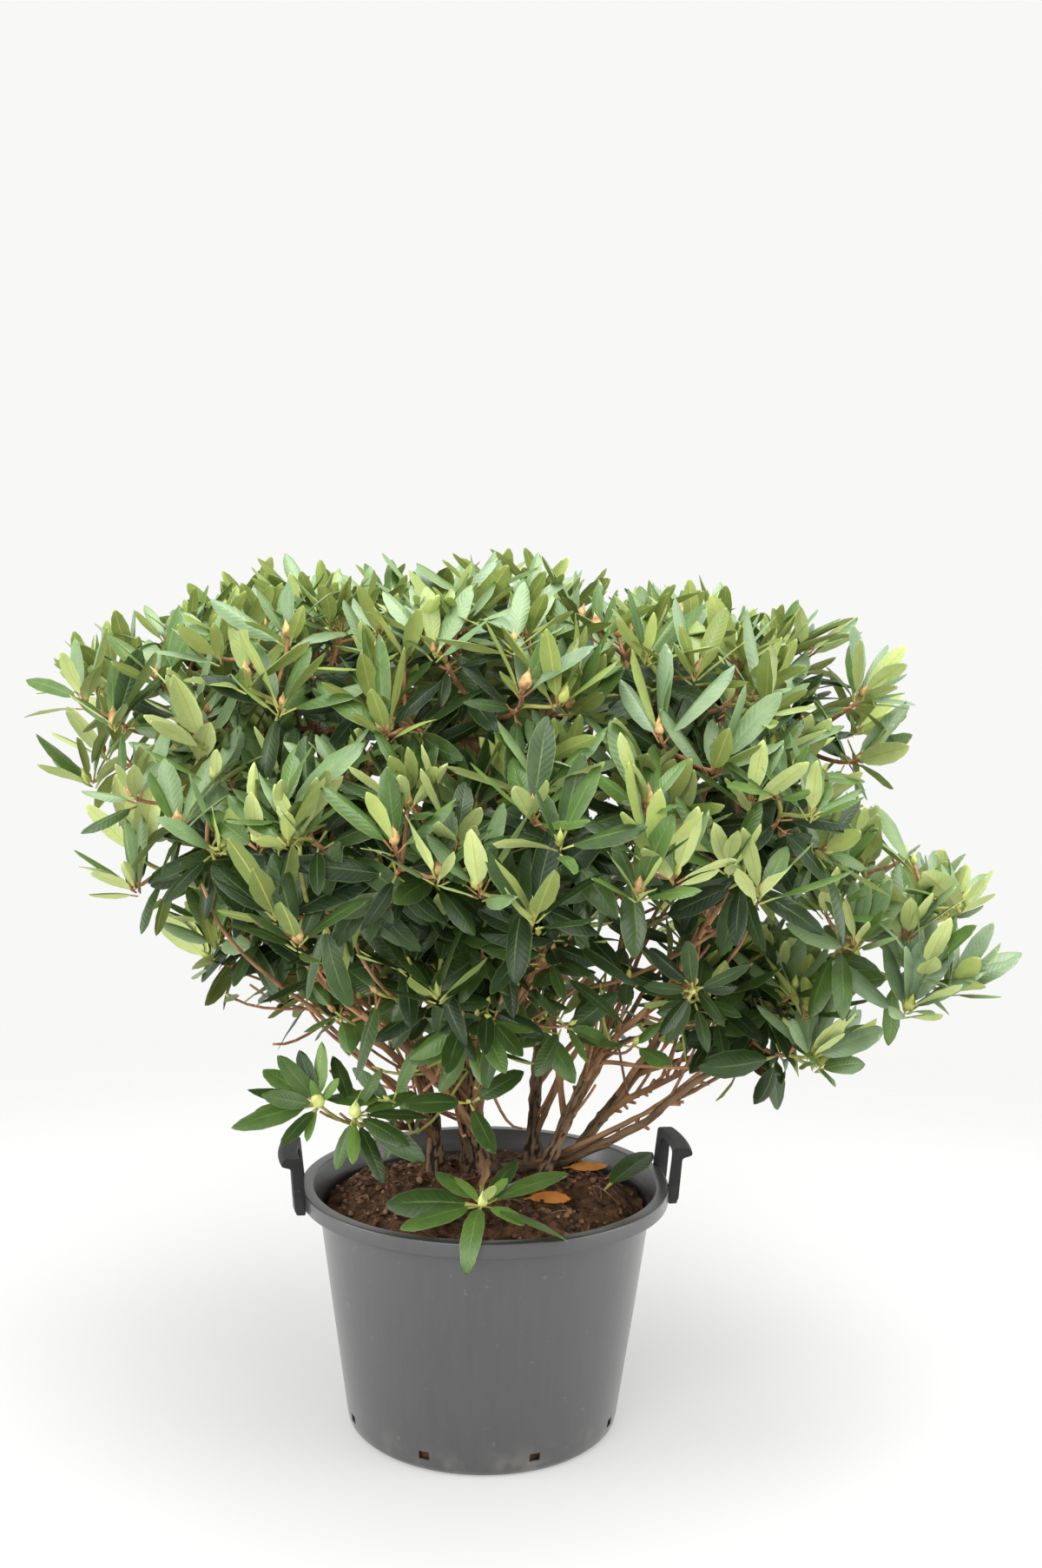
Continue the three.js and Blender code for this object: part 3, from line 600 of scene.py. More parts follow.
def carve(mesh, cutters, bevel=0.0):
    """The mesh less each cutter, with its sharp edges then rounded by `bevel`."""
    body, *tools = [link("carved", each) for each in (mesh, *cutters)]
    for tool in tools:
        cut = body.modifiers.new("cut", "BOOLEAN")
        cut.operation = "DIFFERENCE"
        cut.solver = "EXACT"
        cut.object = tool
    if bevel:
        soften = body.modifiers.new("soften", "BEVEL")
        soften.width = bevel
        soften.segments = BEVEL_STEPS
        soften.angle_limit = math.radians(BEVEL_ANGLE)
    bpy.context.view_layer.update()
    made = bpy.data.meshes.new_from_object(body.evaluated_get(bpy.context.evaluated_depsgraph_get()))
    for holder in (body, *tools):
        bpy.data.objects.remove(holder)
    made.polygons.foreach_set("use_smooth", np.ones(len(made.polygons), bool))
    made.set_sharp_from_angle(angle=math.radians(SHARP_ANGLE))
    return made


def round_corners(corners, radius, steps=5):
    """An open outline whose inner corners are arcs: a bend from just before to just past each."""
    corners = np.array(corners, float)
    outline = [corners[:1]]
    share = np.linspace(0, 1, steps)[:, None]
    for before, corner, after in zip(corners, corners[1:], corners[2:]):
        back, on = before - corner, after - corner
        start = corner + unit(back) * min(radius, 0.45 * np.linalg.norm(back))
        end = corner + unit(on) * min(radius, 0.45 * np.linalg.norm(on))
        outline.append(bezier([start, corner, end], share))
    return np.concatenate([*outline, corners[-1:]])


def fill_in(outline, spacing):
    """The outline with points put in wherever two are further apart than the spacing."""
    gaps = np.linalg.norm(np.diff(outline, axis=0), axis=1)
    counts = np.maximum(1, np.ceil(gaps / spacing).astype(int))
    stretches = [
        start + (end - start) * np.linspace(0, 1, count, endpoint=False)[:, None]
        for start, end, count in zip(outline, outline[1:], counts)
    ]
    return np.concatenate([*stretches, outline[-1:]])


def bar_mesh(outline, near, far, turn=0.0):
    """A bar along X from near to far, with an outline in Y and Z, turned about the vertical."""
    outline = np.array(outline)
    rings = [np.column_stack([np.full(len(outline), x), outline]) for x in (near, far)]
    poles = [ring.mean(0)[None] for ring in rings]
    mesh = tube_mesh("bar", np.concatenate([poles[0], *rings, poles[1]])[None], len(outline))
    mesh.transform(Matrix.Rotation(turn, 4, "Z"))
    return mesh


def rectangle(half_width, low, high):
    """The corners of an upright rectangle, as wide to the left as to the right."""
    return [(half_width, low), (half_width, high), (-half_width, high), (-half_width, low)]


# ---- pot, handles and compost


def pot_finish(name, dark, light, gloss):
    """Dark grey plastic: streaks up the wall, a dusty bloom, and pale residue near the foot. Inside
    the pot it is darker, as painted shade, and so is the rim's top; a painted shadow runs in a line
    under the lip, and the flange above it is a little darker."""
    sheen = {"Specular IOR Level": 0.3 + gloss * 0.5, "Coat Weight": gloss, "Coat Roughness": 0.25}
    finish = Finish(name, sheen)
    streaks = finish.noise(1.0, 3.0, finish.stretched((90, 90, 5)))
    cloud = finish.noise(5.0, 3.0)
    fleck = finish.ease(finish.noise(75.0, 4.0), 0.66, 0.74)
    height = finish.parts(finish.place)[2]
    radius = finish.length(finish.stretched((1, 1, 0)))
    slope = (NECK_RADIUS - HEEL_RADIUS) / (NECK_HEIGHT - HEEL_HEIGHT)
    mid_wall = HEEL_RADIUS - slope * HEEL_HEIGHT - POT_WALL / 2
    within = finish.ease(height * slope + mid_wall - radius, 0, 0.001)
    on_top = finish.ease(height, POT_HEIGHT - 0.003, POT_HEIGHT - 0.001)
    # Darker inside the pot, as painted shade, and on the rim's top
    inside = 1 - (1 - within) * (1 - on_top)
    lip_foot = POT_HEIGHT - LIP_DROP
    on_lip = finish.ease(height, lip_foot, lip_foot + 0.004)
    # A painted shadow in a broken line under the lip; the flange above it is also a little darker
    under_lip = finish.ease(height, lip_foot - 0.006, lip_foot - 0.002) * (1 - on_lip)
    painted_shadow_under_lip = under_lip * finish.ease(cloud, 0.35, 0.6)
    low = 1 - finish.ease(height, 0.004, 0.07)
    residue = low * finish.ease(finish.noise(26.0, 5.0), 0.45, 0.75)
    faded = finish.between(streaks * 0.6 + cloud * 0.4, dark, light)
    shadow_and_dark_flange = finish.between(painted_shadow_under_lip * 0.8 + on_lip * 0.3, faded, (18, 18, 19))
    base = finish.between(inside * 0.9, shadow_and_dark_flange, (14, 14, 15))
    dusty = finish.between(residue * 0.35, base, (124, 118, 108))
    finish.feed("Base Color", finish.between(fleck * 0.12, dusty, (140, 138, 132)))
    finish.feed("Roughness", streaks * 0.12 + cloud * 0.1 + inside * 0.25 + 0.30)
    finish.relief(streaks * 0.5 + finish.noise(400.0, 2.0) * 0.3, 0.0006, 0.5)
    return finish


def pot_mesh():
    """The pot's outline turned about the vertical, then cut through by the drain holes. Grain
    swells its radius by a little, so that the wall isn't perfectly round."""
    lip_foot = POT_HEIGHT - LIP_DROP
    mouth = FLANGE_RADIUS - RIM_WIDTH
    corners = [
        (HUB_RADIUS, 0),
        (FOOT_RADIUS, 0),
        (HEEL_RADIUS - 0.003, 0.008),
        (HEEL_RADIUS, HEEL_HEIGHT),
        (NECK_RADIUS, NECK_HEIGHT),
        (NECK_RADIUS + 0.003, lip_foot),
        (FLANGE_RADIUS, lip_foot),
        (FLANGE_RADIUS, POT_HEIGHT),
        (mouth, POT_HEIGHT),
        (NECK_RADIUS - POT_WALL, NECK_HEIGHT),
        (HEEL_RADIUS - POT_WALL, HEEL_HEIGHT),
        (HEEL_RADIUS - POT_WALL - 0.004, POT_FLOOR),
        (HUB_RADIUS, POT_FLOOR),
    ]
    outline = fill_in(round_corners(corners, POT_BEND), POT_SPACING)
    radii, heights = outline.T
    angle = ring_angles(POT_SIDES)
    ring = joined(np.cos(angle) * 2, np.sin(angle) * 2, heights[:, None] * 5)
    swell = POT_SWELL * grain(ring, 3) * np.clip((radii[:, None] - 0.1) / 0.1, 0, 1)
    shell = tube_mesh("pot_shell", turned_points(radii[:, None] + swell, heights, POT_SIDES), POT_SIDES)
    hole = rectangle(DRAIN_WIDTH / 2, DRAIN_LEVEL, DRAIN_LEVEL + DRAIN_HEIGHT)
    turns = TURN * (np.arange(DRAINS) + 0.5) / DRAINS
    cutters = [bar_mesh(hole, HEEL_RADIUS - 0.03, HEEL_RADIUS + 0.03, turn) for turn in turns]
    return carve(shell, cutters)


def handle_mesh(turn):
    """A hooded strap that follows the rim: its outline in radius and height is carried sideways,
    each point at its own radius, then the finger gap with its rounded top is cut out."""
    inner = FLANGE_RADIUS - 0.0004
    outer = FLANGE_RADIUS + 0.001 + HANDLE_THICK
    leg = outer + HANDLE_LEAN
    lip = leg + HANDLE_OVERHANG
    grip = HANDLE_TOP - HANDLE_GRIP
    corners = [
        (inner + 0.004, HANDLE_FOOT),
        (outer - 0.001, HANDLE_FOOT),
        (outer - 0.001, HANDLE_FOOT + 0.006),
        (outer + 0.001, HANDLE_FOOT + 0.007),
        (leg, grip - 0.006),
        (lip - 0.006, grip - 0.003),
        (lip - 0.001, grip - 0.001),
        (lip - 0.001, grip + 0.004),
        (lip - 0.007, HANDLE_TOP),
        (inner + HANDLE_LEAN + 0.001, HANDLE_TOP),
        (inner, POT_HEIGHT - 0.004),
        (inner, HANDLE_FOOT),
        (inner + 0.004, HANDLE_FOOT),
    ]
    radii, heights = fill_in(round_corners(corners, HANDLE_BEND), HANDLE_SPACING)[:0:-1].T
    across = np.linspace(-1, 1, HANDLE_RINGS)[:, None] * HANDLE_SPAN / 2
    depth = np.sqrt(radii**2 - across**2)
    rings = joined(depth, across, heights)
    middle = (grip + HANDLE_TOP) / 2
    poles = np.array([[rings[i, :, 0].mean() + 0.001, across[i, 0], middle] for i in (0, -1)])
    points = np.concatenate([poles[:1], rings.reshape(-1, 3), poles[1:]])[None]
    strap = tube_mesh("strap", points, len(radii))
    half_gap = HANDLE_SPAN / 2 - HANDLE_LEG
    gap = bar_mesh(round_corners(rectangle(half_gap, 0.1, grip), HANDLE_ARCH), 0.2, 0.5)
    made = carve(strap, [gap], HANDLE_EDGE)
    made.transform(Matrix.Rotation(math.radians(turn), 4, "Z"))
    return made


def compost_height(x, y):
    """The compost's top: a mound in the middle, a slope to the wall, and lumps all over."""
    radius = np.hypot(x, y)
    level = np.interp(
        radius,
        [0, MOUND_RADIUS, (MOUND_RADIUS + COMPOST_RADIUS) / 2, COMPOST_RADIUS],
        [COMPOST_TOP, COMPOST_TOP, COMPOST_SHOULDER, COMPOST_EDGE],
    )
    lumps = rough_grain(joined(x, y, 0.0) / LUMP_SIZE, 5, 7)
    return level + LUMP_HEIGHT * lumps - 0.005


def compost_mesh():
    """A turned bottom, and rings whose height follows the lumpy top."""
    wall = COMPOST_RADIUS - 0.0004
    floor = POT_FLOOR + FIT
    under = [(0.01, floor), (HEEL_RADIUS - POT_WALL - 0.006, floor), (wall - 0.045, 0.03)]
    radii = np.concatenate([[r for r, _ in under], np.linspace(wall, HUB_RADIUS, COMPOST_RINGS)])
    angle = ring_angles(COMPOST_SIDES)
    heights = compost_height(radii[:, None] * np.cos(angle), radii[:, None] * np.sin(angle))
    for i, (_, height) in enumerate(under):
        heights[i] = height
    return tube_mesh("compost_bed", turned_points(radii, heights, COMPOST_SIDES), COMPOST_SIDES)


def compost_finish():
    """Dark peat, lighter on its lumps, with pale flecks of bark."""
    finish = Finish("peat", {"Specular IOR Level": 0.2, "Roughness": 0.95})
    lumps = finish.noise(60.0, 6.0, roughness=0.65)
    fine = finish.noise(420.0, 4.0, roughness=0.7)
    base = finish.between(finish.ease(lumps, 0.3, 0.7), (40, 28, 21), (108, 78, 54))
    finish.feed("Base Color", finish.between(finish.ease(fine, 0.58, 0.74), base, (158, 122, 88)))
    finish.relief(lumps + fine * 0.6, 0.004, 0.8)
    return finish


# ---- the growth rule


def make_random(seed):
    """The seeded generator of the growth rule: numbers from 0 to 1."""
    state = seed

    def draw():
        nonlocal state
        state = (state + 0x6D2B79F5) & 0xFFFFFFFF
        mixed = ((state ^ (state >> 15)) * (state | 1)) & 0xFFFFFFFF
        mixed ^= (mixed + (mixed ^ (mixed >> 7)) * (mixed | 61)) & 0xFFFFFFFF
        return (mixed ^ (mixed >> 14)) / 4294967296

    return draw


def mass_centre(mass):
    """The middle of a mass, from its bearing, its reach and its height."""
    return heading(mass.bearing, 0) * mass.reach + UP * mass.height


def mass_facing(mass):
    """The way a mass faces: out from the crown's core and up."""
    away = (mass_centre(mass) - CORE) * (1, 1, 0)
    return unit(away / CORE_REACH + UP * mass.height / CORE_HEIGHT)


def limb_end(mass, foot):
    """Where a limb from this foot enters its mass, and the way it arrives: at the heart and up."""
    centre = mass_centre(mass)
    lift = max(0, (mass.height - LIFT_FROM) / LIFT_OVER)
    arrival = unit(unit(centre - foot) * 0.75 + UP * lift)
    return centre - arrival * MASS_ENTRY * mass.wide, arrival


def limb_path(foot, away, tip, arrival, random):
    """A cubic bend from foot to tip that wanders a little to both sides."""
    length = np.linalg.norm(tip - foot)
    along = unit(tip - foot)
    sideways = square_to(along)
    other = np.cross(along, sideways)
    phases = [random() * TURN, random() * TURN]
    share = np.linspace(0, 1, LIMB_STEPS + 1)[:, None]
    corners = [foot, foot + away * length * LIMB_LEAVES, tip - arrival * length * LIMB_ARRIVES, tip]
    sway = length * LIMB_WANDER * np.sin(math.pi * share)
    over = sideways * np.sin(phases[0] + share * TURN * LIMB_TURNS[0])
    across = other * np.sin(phases[1] + share * TURN * LIMB_TURNS[1])
    return bezier(corners, share) + sway * (over + across)


def taper(foot, tip):
    """The radius at each point of a limb, thinning fastest at the foot."""
    share = np.linspace(0, 1, LIMB_STEPS + 1)
    return foot + (tip - foot) * share**0.8


def point_on(path, share):
    """The point, or the radius, at a share of a path of equal steps."""
    at = min(share, 0.999) * (len(path) - 1)
    step = int(at)
    return path[step] + (path[step + 1] - path[step]) * (at - step)


Limb = namedtuple("Limb", "name mass points radii parent")


def grow_limbs():
    """The stems, then the boughs that fork from them, each with its path and its radii."""
    limbs = []
    for i, stem in enumerate(STEMS):
        mass = next(each for each in CROWN if each.name == stem.bears)
        foot = np.array([stem.x, stem.y, COMPOST_TOP + FIT])
        tip, arrival = limb_end(mass, foot)
        random = make_random(STEM_SEED + i)
        points = limb_path(foot, heading(stem.lean, stem.rise), tip, arrival, random)
        limbs.append(Limb(stem.name, mass, points, taper(stem.radius, LIMB_TIP_RADIUS), None))
    for i, mass in enumerate(each for each in CROWN if each.source):
        parent = next(limb for limb in limbs if limb.name == mass.source)
        foot = point_on(parent.points, mass.fork)
        radius = point_on(parent.radii, mass.fork)
        step = int(mass.fork * LIMB_STEPS)
        way = unit(parent.points[step + 1] - parent.points[step])
        tip, arrival = limb_end(mass, foot)
        away = unit(unit(tip - foot) * 0.8 + way * 0.35)
        points = limb_path(foot, away, tip, arrival, make_random(BOUGH_SEED + i))
        radii = taper(radius * BOUGH_SLIMNESS, LIMB_TIP_RADIUS)
        limbs.append(Limb(f"bough_{mass.name}", mass, points, radii, parent))
    return limbs


class Space:
    """A mass's space: an ellipsoid, cut off halfway to each neighbour by flat faces."""

    def __init__(self, mass):
        self.mass = mass
        self.centre = mass_centre(mass)
        self.half = np.array([mass.wide, mass.wide, mass.tall])
        others = [each for each in CROWN if each is not mass]
        away = np.array([mass_centre(each) for each in others]) - self.centre
        distance = np.linalg.norm(away, axis=1)
        wides = np.array([each.wide for each in others])
        self.normals = away / distance[:, None]
        self.offsets = (distance**2 + mass.wide**2 - wides**2) / (2 * distance)

    def reach(self, points):
        """How far out the points are, as a share of the ellipsoid."""
        return np.linalg.norm((points - self.centre) / self.half, axis=-1)

    def holds(self, points, limit=1.0, spare=-SPACE_MARGIN):
        """Whether the points are inside both, with so much to spare past the flat faces."""
        inside = ((points - self.centre) @ self.normals.T < self.offsets + spare).all(-1)
        return inside & (self.reach(points) <= limit)


def clear_of_pot(points):
    """Above the rim or outside the wall, and away from the handles."""
    radius = np.hypot(points[..., 0], points[..., 1])
    handle = (np.abs(points[..., 0]) > HANDLE_SIDE) & (radius > FLANGE_RADIUS - RIM_WIDTH)
    beside = (points[..., 2] > POT_HEIGHT + POT_MARGIN) | (radius > FLANGE_RADIUS + POT_MARGIN)
    return (points[..., 2] > HANDLE_TOP + POT_MARGIN) | (beside & ~handle)


def clear_of_notch(points, reach):
    """Not in the notch above the wing, where the crown steps in. Its upper side leans outward."""
    height = points[..., 2]
    edge = reach + np.clip((height - NOTCH_FOOT) * NOTCH_LEAN, 0, NOTCH_DEPTH)
    return (points[..., 0] < edge) | (height < NOTCH_FOOT)


class Thicket:
    """The limbs' straight pieces, for the gap from other pieces to the nearest of them."""

    def __init__(self, limbs):
        self.starts = np.concatenate([limb.points[:-1] for limb in limbs])
        self.spans = np.concatenate([np.diff(limb.points, axis=0) for limb in limbs])
        self.radii = np.concatenate([limb.radii[:-1] for limb in limbs])

    def clear(self, a, b, reach):
        """Whether each piece from a to b keeps its reach and a margin off every limb."""
        u, v = (b - a)[..., None, :], self.spans
        w = a[..., None, :] - self.starts
        pairs = ((u, u), (u, v), (v, v), (u, w), (v, w))
        uu, uv, vv, uw, vw = [(first * second).sum(-1) for first, second in pairs]
        s = np.clip((uv * vw - vv * uw) / np.maximum(uu * vv - uv * uv, 1e-15), 0, 1)
        t = np.clip((uv * s + vw) / vv, 0, 1)
        s = np.clip((uv * t - uw) / uu, 0, 1)
        gap = np.linalg.norm(w + u * s[..., None] - v * t[..., None], axis=-1)
        return (gap > self.radii + reach + LIMB_MARGIN).all(-1)


def fan_way(facing, k, count, draw, spread):
    """The way of shoot k of a fan: spread evenly over a cone about the facing, a golden turn apart."""
    side = square_to(facing)
    other = np.cross(facing, side)
    height = 1 - (1 - math.cos(math.radians(spread))) * ((k + 0.35) / count)
    turn = k * GOLDEN_TURN + (draw - 0.5) * 0.7
    level = math.sqrt(1 - height * height)
    return facing * height + side * level * math.cos(turn) + other * level * math.sin(turn)


Shoot = namedtuple("Shoot", "start end axis phase")


def grow_shoots(space, path, thicket, random):
    """The six shoots of a mass, each from its stem out to where its twigs fan."""
    mass = space.mass
    shoots = []
    for k in range(SHOOTS_IN_MASS):
        draws = [random() for _ in range(4)]
        way = fan_way(mass_facing(mass), k, SHOOTS_IN_MASS, draws[0], SHOOT_SPREAD)
        start = point_on(path, 1 - SHOOT_SPACING * ((k + draws[2] * 0.6) / SHOOTS_IN_MASS))
        for pull in SHOOT_PULLS:
            end = space.centre + way * space.half * SHOOT_DEPTH * (0.9 + 0.2 * draws[1]) * pull
            axis = unit(unit(end - start) * 0.75 + UP * 0.4)
            bud = end + axis * BUD_LENGTH
            both = np.array([end, bud])
            inside = (space.holds(both) & clear_of_pot(both)).all()
            if inside and thicket.clear(start, end, SHOOT_RADIUS) and thicket.clear(end, bud, BUD_RADIUS):
                shoots.append(Shoot(start, end, axis, draws[3] * TURN))
                break
    return shoots


# ---- limbs with their bark


def bark_finish(name, furrow, old, young):
    """Bark by the limb's straightened place, so that fibres and patches run along it. `groove` is
    how deep the relief lies, and darkens the furrows: their own darker bark and painted shade in
    them. Near the compost all of it is darker, as painted shade."""
    finish = Finish(name, {"Specular IOR Level": 0.25})
    straight = finish.attribute("straight")
    fibres = finish.noise(1.0, 5.0, finish.stretched((420, 420, 45), straight), 0.6)
    patches = finish.noise(1.0, 3.0, finish.stretched((45, 45, 12), straight))
    plates = finish.between(finish.ease(patches, 0.35, 0.65), old, young)
    worn = finish.between(finish.ease(fibres, 0.42, 0.8) * 0.4, plates, (160, 142, 116))
    # Low on the stems all the bark is darker: painted shade
    painted_shade_low = (1 - finish.ease(finish.parts(finish.place)[2], 0.38, 0.60)) * 0.4
    # The furrows darker by their depth: their own darker bark, and painted shade in them
    base = finish.between(finish.ease(finish.attribute("groove", 2), 0.15, 0.6), worn, furrow)
    finish.feed("Base Color", finish.between(painted_shade_low, base, furrow))
    finish.feed("Roughness", 0.95 - fibres * 0.25)
    finish.relief(fibres, 0.0012, 0.9)
    return finish


def bell(distances, width):
    """1 where the distance is nought, and little beyond the width to either side."""
    return np.exp(-((distances / width) ** 2))


# A limb's rings, its sway, its yearly knots, how far a stem's two lowest rings are sunk, and the
# sides of a stout tube and of a slim one. Then the rods, and what tells one limb's grain from another's
RING_SPACING = 0.0055
SWAY = 0.0026
KNOT_SPACING = 0.105
SUNK = np.array([0.03, 0.015])
STOUT_FROM = 0.0085
STOUT_SIDES = 22
SLIM_SIDES = 14
ROD_RADII = (0.0034, 0.0062)
ROD_TIP_RADIUS = 0.0022
LIMB_GRAIN = 11
ROD_GRAIN = 51


def limb_line(limb, seed):
    """A limb's path, smoothed and bent a little by grain, its radii, raised at the yearly knots,
    and the run along it. A stem also swells to its flare, and starts below the compost."""
    length = np.linalg.norm(np.diff(limb.points, axis=0), axis=1).sum()
    rings = int(length / RING_SPACING)
    path = smooth_path(limb.points, rings)
    radii = np.interp(np.linspace(0, LIMB_STEPS, rings), np.arange(LIMB_STEPS + 1), limb.radii)
    run = np.linspace(0, length, rings)
    bend = joined(*[grain(joined(run / 0.05, i, 0.0), seed) for i in range(3)])
    path = path + bend * SWAY * np.sin(math.pi * run / length)[:, None]
    radii = radii * (1 + 0.2 * bell((run + 0.03 * seed) % KNOT_SPACING - 0.05, 0.006))
    if limb.parent is None:
        radii = radii * (1 + 0.6 * STEM_FLARE * bell(run, 0.022))
        below = path[0] - unit(path[1] - path[0]) * SUNK[:, None]
        path = np.concatenate([below, path])
        radii = np.concatenate([radii[:1] * 1.2, radii[:1] * 1.1, radii])
        run = np.concatenate([-SUNK, run])
    return path, radii, run


def limb_mesh(limb, seed):
    """A tube along the limb's line, with lobes at a stem's foot and furrows along it.

    The furrows are grain drawn out along the limb, deepest where it is old and thick.
    """
    path, radii, run = limb_line(limb, seed)
    sides = STOUT_SIDES if limb.radii[0] > STOUT_FROM else SLIM_SIDES
    angle = ring_angles(sides)
    around = joined(np.cos(angle) * 2.6, np.sin(angle) * 2.6, run[:, None] / 0.024)
    furrows = np.abs(grain(around, seed)) + 0.5 * np.abs(grain(around * 2.3, seed + 1))
    age = np.clip((radii - 0.0035) / 0.008, 0.12, 1)[:, None]
    relief = radii[:, None] * age * 0.5 * (furrows - 0.35)
    lobes = 0.1 * bell(run, 0.03)[:, None] * np.sin(angle * 3 + seed)
    grid_radii = radii[:, None] * (1 + (lobes if limb.parent is None else 0)) + relief
    mesh = tube_mesh(f"bark_{limb.name}", tube_points(path[None], grid_radii[None], sides), sides)
    groove = np.clip(1 - furrows * 1.6, 0, 1) * age
    name_values(mesh, "groove", with_poles(groove.ravel()))
    width = radii.mean()
    straight = joined(width * np.cos(angle), width * np.sin(angle), run[:, None] + seed)
    name_values(mesh, "straight", with_poles(straight.reshape(-1, 3)))
    return mesh


def grow_rods(limbs):
    """Thin rods that leave the stems low down and run up into the outer and lower masses."""
    rods = []
    draw = np.random.default_rng([GROWTH_SEED, ROD_DRAWS])
    stems = limbs[: len(STEMS)]
    for i, mass in enumerate([*CROWN[8:22], *CROWN[1:7], *CROWN[8:22]]):
        facing = unit(mass_centre(mass))
        likeness = np.array([np.dot(unit(stem.points[-1] - stem.points[0]), facing) for stem in stems])
        parent = stems[int(np.argsort(-likeness)[draw.integers(0, 3)])]
        share = draw.uniform(0.03, 0.3)
        foot = point_on(parent.points, share)
        way = unit(point_on(parent.points, share + 0.05) - foot)
        tip = mass_centre(mass) + draw.normal(0, 0.05, 3) - UP * 0.06
        away = unit(unit(tip - foot) * 0.9 + way * 0.4 + draw.normal(0, 0.12, 3))
        arrival = unit(unit(tip - foot) * 0.6 + UP * 0.5)
        points = limb_path(foot, away, tip, arrival, make_random(ROD_SEED + i))
        radii = taper(draw.uniform(*ROD_RADII), ROD_TIP_RADIUS)
        rods.append(Limb(f"rod_{i + 1}", mass, points, radii, parent))
    return rods


def dress_limbs(limbs, rods):
    """The bark of each limb and each rod, in the finish of a stem or of a bough."""
    stem_bark = bark_finish("stem_bark", (30, 22, 16), (90, 70, 50), (140, 112, 82))
    bough_bark = bark_finish("bough_bark", (48, 33, 24), (124, 90, 64), (184, 140, 98))
    for i, limb in enumerate(limbs):
        slot = "bough_bark" if limb.parent else "stem_bark"
        finish = bough_bark if limb.parent else stem_bark
        make_piece(f"bark_{limb.name}", limb_mesh(limb, i + LIMB_GRAIN), [finish], slot, limb.name)
    for i, rod in enumerate(rods):
        mesh = limb_mesh(rod, i + ROD_GRAIN)
        make_piece(f"bark_{rod.name}", mesh, [bough_bark], "bough_bark", f"foliage_{rod.mass.name}")


# ---- leaves

# A leaf: where its rows lie from foot to tip, and its corners across from edge to edge on top and
# back beneath, with those that a sharp line runs through, their depth and the side of each
LEAF_ROWS = np.array([0.03, 0.165, 0.26, 0.44, 0.68, 0.875, 0.965])
LEAF_COLUMNS = np.array([1, 0.5, 0, -0.5, -1, -0.5, -0.06, 0.06, 0.5])
LEAF_LINES = (0, 2, 4)
LEAF_UNDER = np.array([0, 0, 0, 0, 0, 1, 1.6, 1.6, 1])
LEAF_SIDES = ("top", "top", "top", "top", "under", "under", "keel", "under", "under")
STALK_ROWS = 1
BLADE_FROM = 0.155
STALK_WIDTH = 0.0014
LEAF_THICKNESS = 0.0007


def leaf_points(leaves):
    """Closed leaves, each a flat tube: a spine that bends from its way towards its underside, and
    across it a ring of five corners on top and four beneath.

    The half width is that of a slightly pointed ellipse along the blade. The top rises from the
    midrib by the fold and falls to the edges by the roll, and its edges wave a little.
    """
    share = np.concatenate([[0], LEAF_ROWS, [1]])
    lift, bend, length = [leaves[key][:, None] for key in ("lift", "bend", "length")]
    way, face = leaves["way"][:, None], leaves["face"][:, None]
    angle = lift - bend * share
    forward = (np.sin(lift) - np.sin(angle)) / bend * length
    upward = (np.cos(angle) - np.cos(lift)) / bend * length
    spine = leaves["foot"][:, None] + forward[..., None] * way + upward[..., None] * face
    above = np.cos(angle)[..., None] * face - np.sin(angle)[..., None] * way
    across = np.cross(face, way)
    turn = (leaves["twist"][:, None] * share)[..., None]
    cosine, sine = np.cos(turn), np.sin(turn)
    across, above = across * cosine + above * sine, above * cosine - across * sine
    blade = np.clip((LEAF_ROWS - BLADE_FROM) / (1 - BLADE_FROM), 0, 1)
    outline = (1 - np.abs(2 * blade**1.03 - 1) ** 2.1) ** 0.6 * (1 - 0.4 * blade**12)
    half = np.maximum(outline * length * leaves["slimness"][:, None], STALK_WIDTH)[..., None]
    column = LEAF_COLUMNS
    wave = 0.07 * np.sin(LEAF_ROWS * 9 + leaves["twist"][:, None] * 20)[..., None] * column
    rise = leaves["fold"][:, None, None] * np.abs(column) - leaves["roll"][:, None, None] * column**2 + wave
    sink = LEAF_THICKNESS * LEAF_UNDER + STALK_WIDTH * (LEAF_UNDER > 0) * (LEAF_ROWS < 0.2)[:, None]
    sideways = across[:, 1:-1, None] * (half * column)[..., None]
    ring = spine[:, 1:-1, None] + sideways + above[:, 1:-1, None] * (half * rise - sink)[..., None]
    return np.concatenate([spine[:, :1], ring.reshape(len(ring), -1, 3), spine[:, -1:]], axis=1)


def leaf_faces():
    """The faces of a tube. The quads beneath start one corner on, so that they're split along the
    same diagonals as those on top and don't come through them."""
    quads, ends = tube_faces(len(LEAF_ROWS), len(LEAF_COLUMNS))
    beneath = np.tile(np.array(LEAF_SIDES) != "top", len(LEAF_ROWS) - 1)
    quads[beneath] = np.roll(quads[beneath], -1, axis=1)
    return quads, ends


def leaf_finishes(leaves):
    """The finish of each face: by its side of the leaf, with the midrib beneath and the stalk apart."""
    by_side = np.stack([leaves[key] for key in LEAF_SIDES], -1)
    quads = np.repeat(by_side[:, None], len(LEAF_ROWS) - 1, axis=1)
    quads[:, :STALK_ROWS] = leaves["stalk"][:, None, None]
    ends = np.concatenate([np.repeat(leaves["stalk"][:, None], len(LEAF_SIDES), 1), by_side], axis=1)
    return quads.reshape(len(by_side), -1), ends


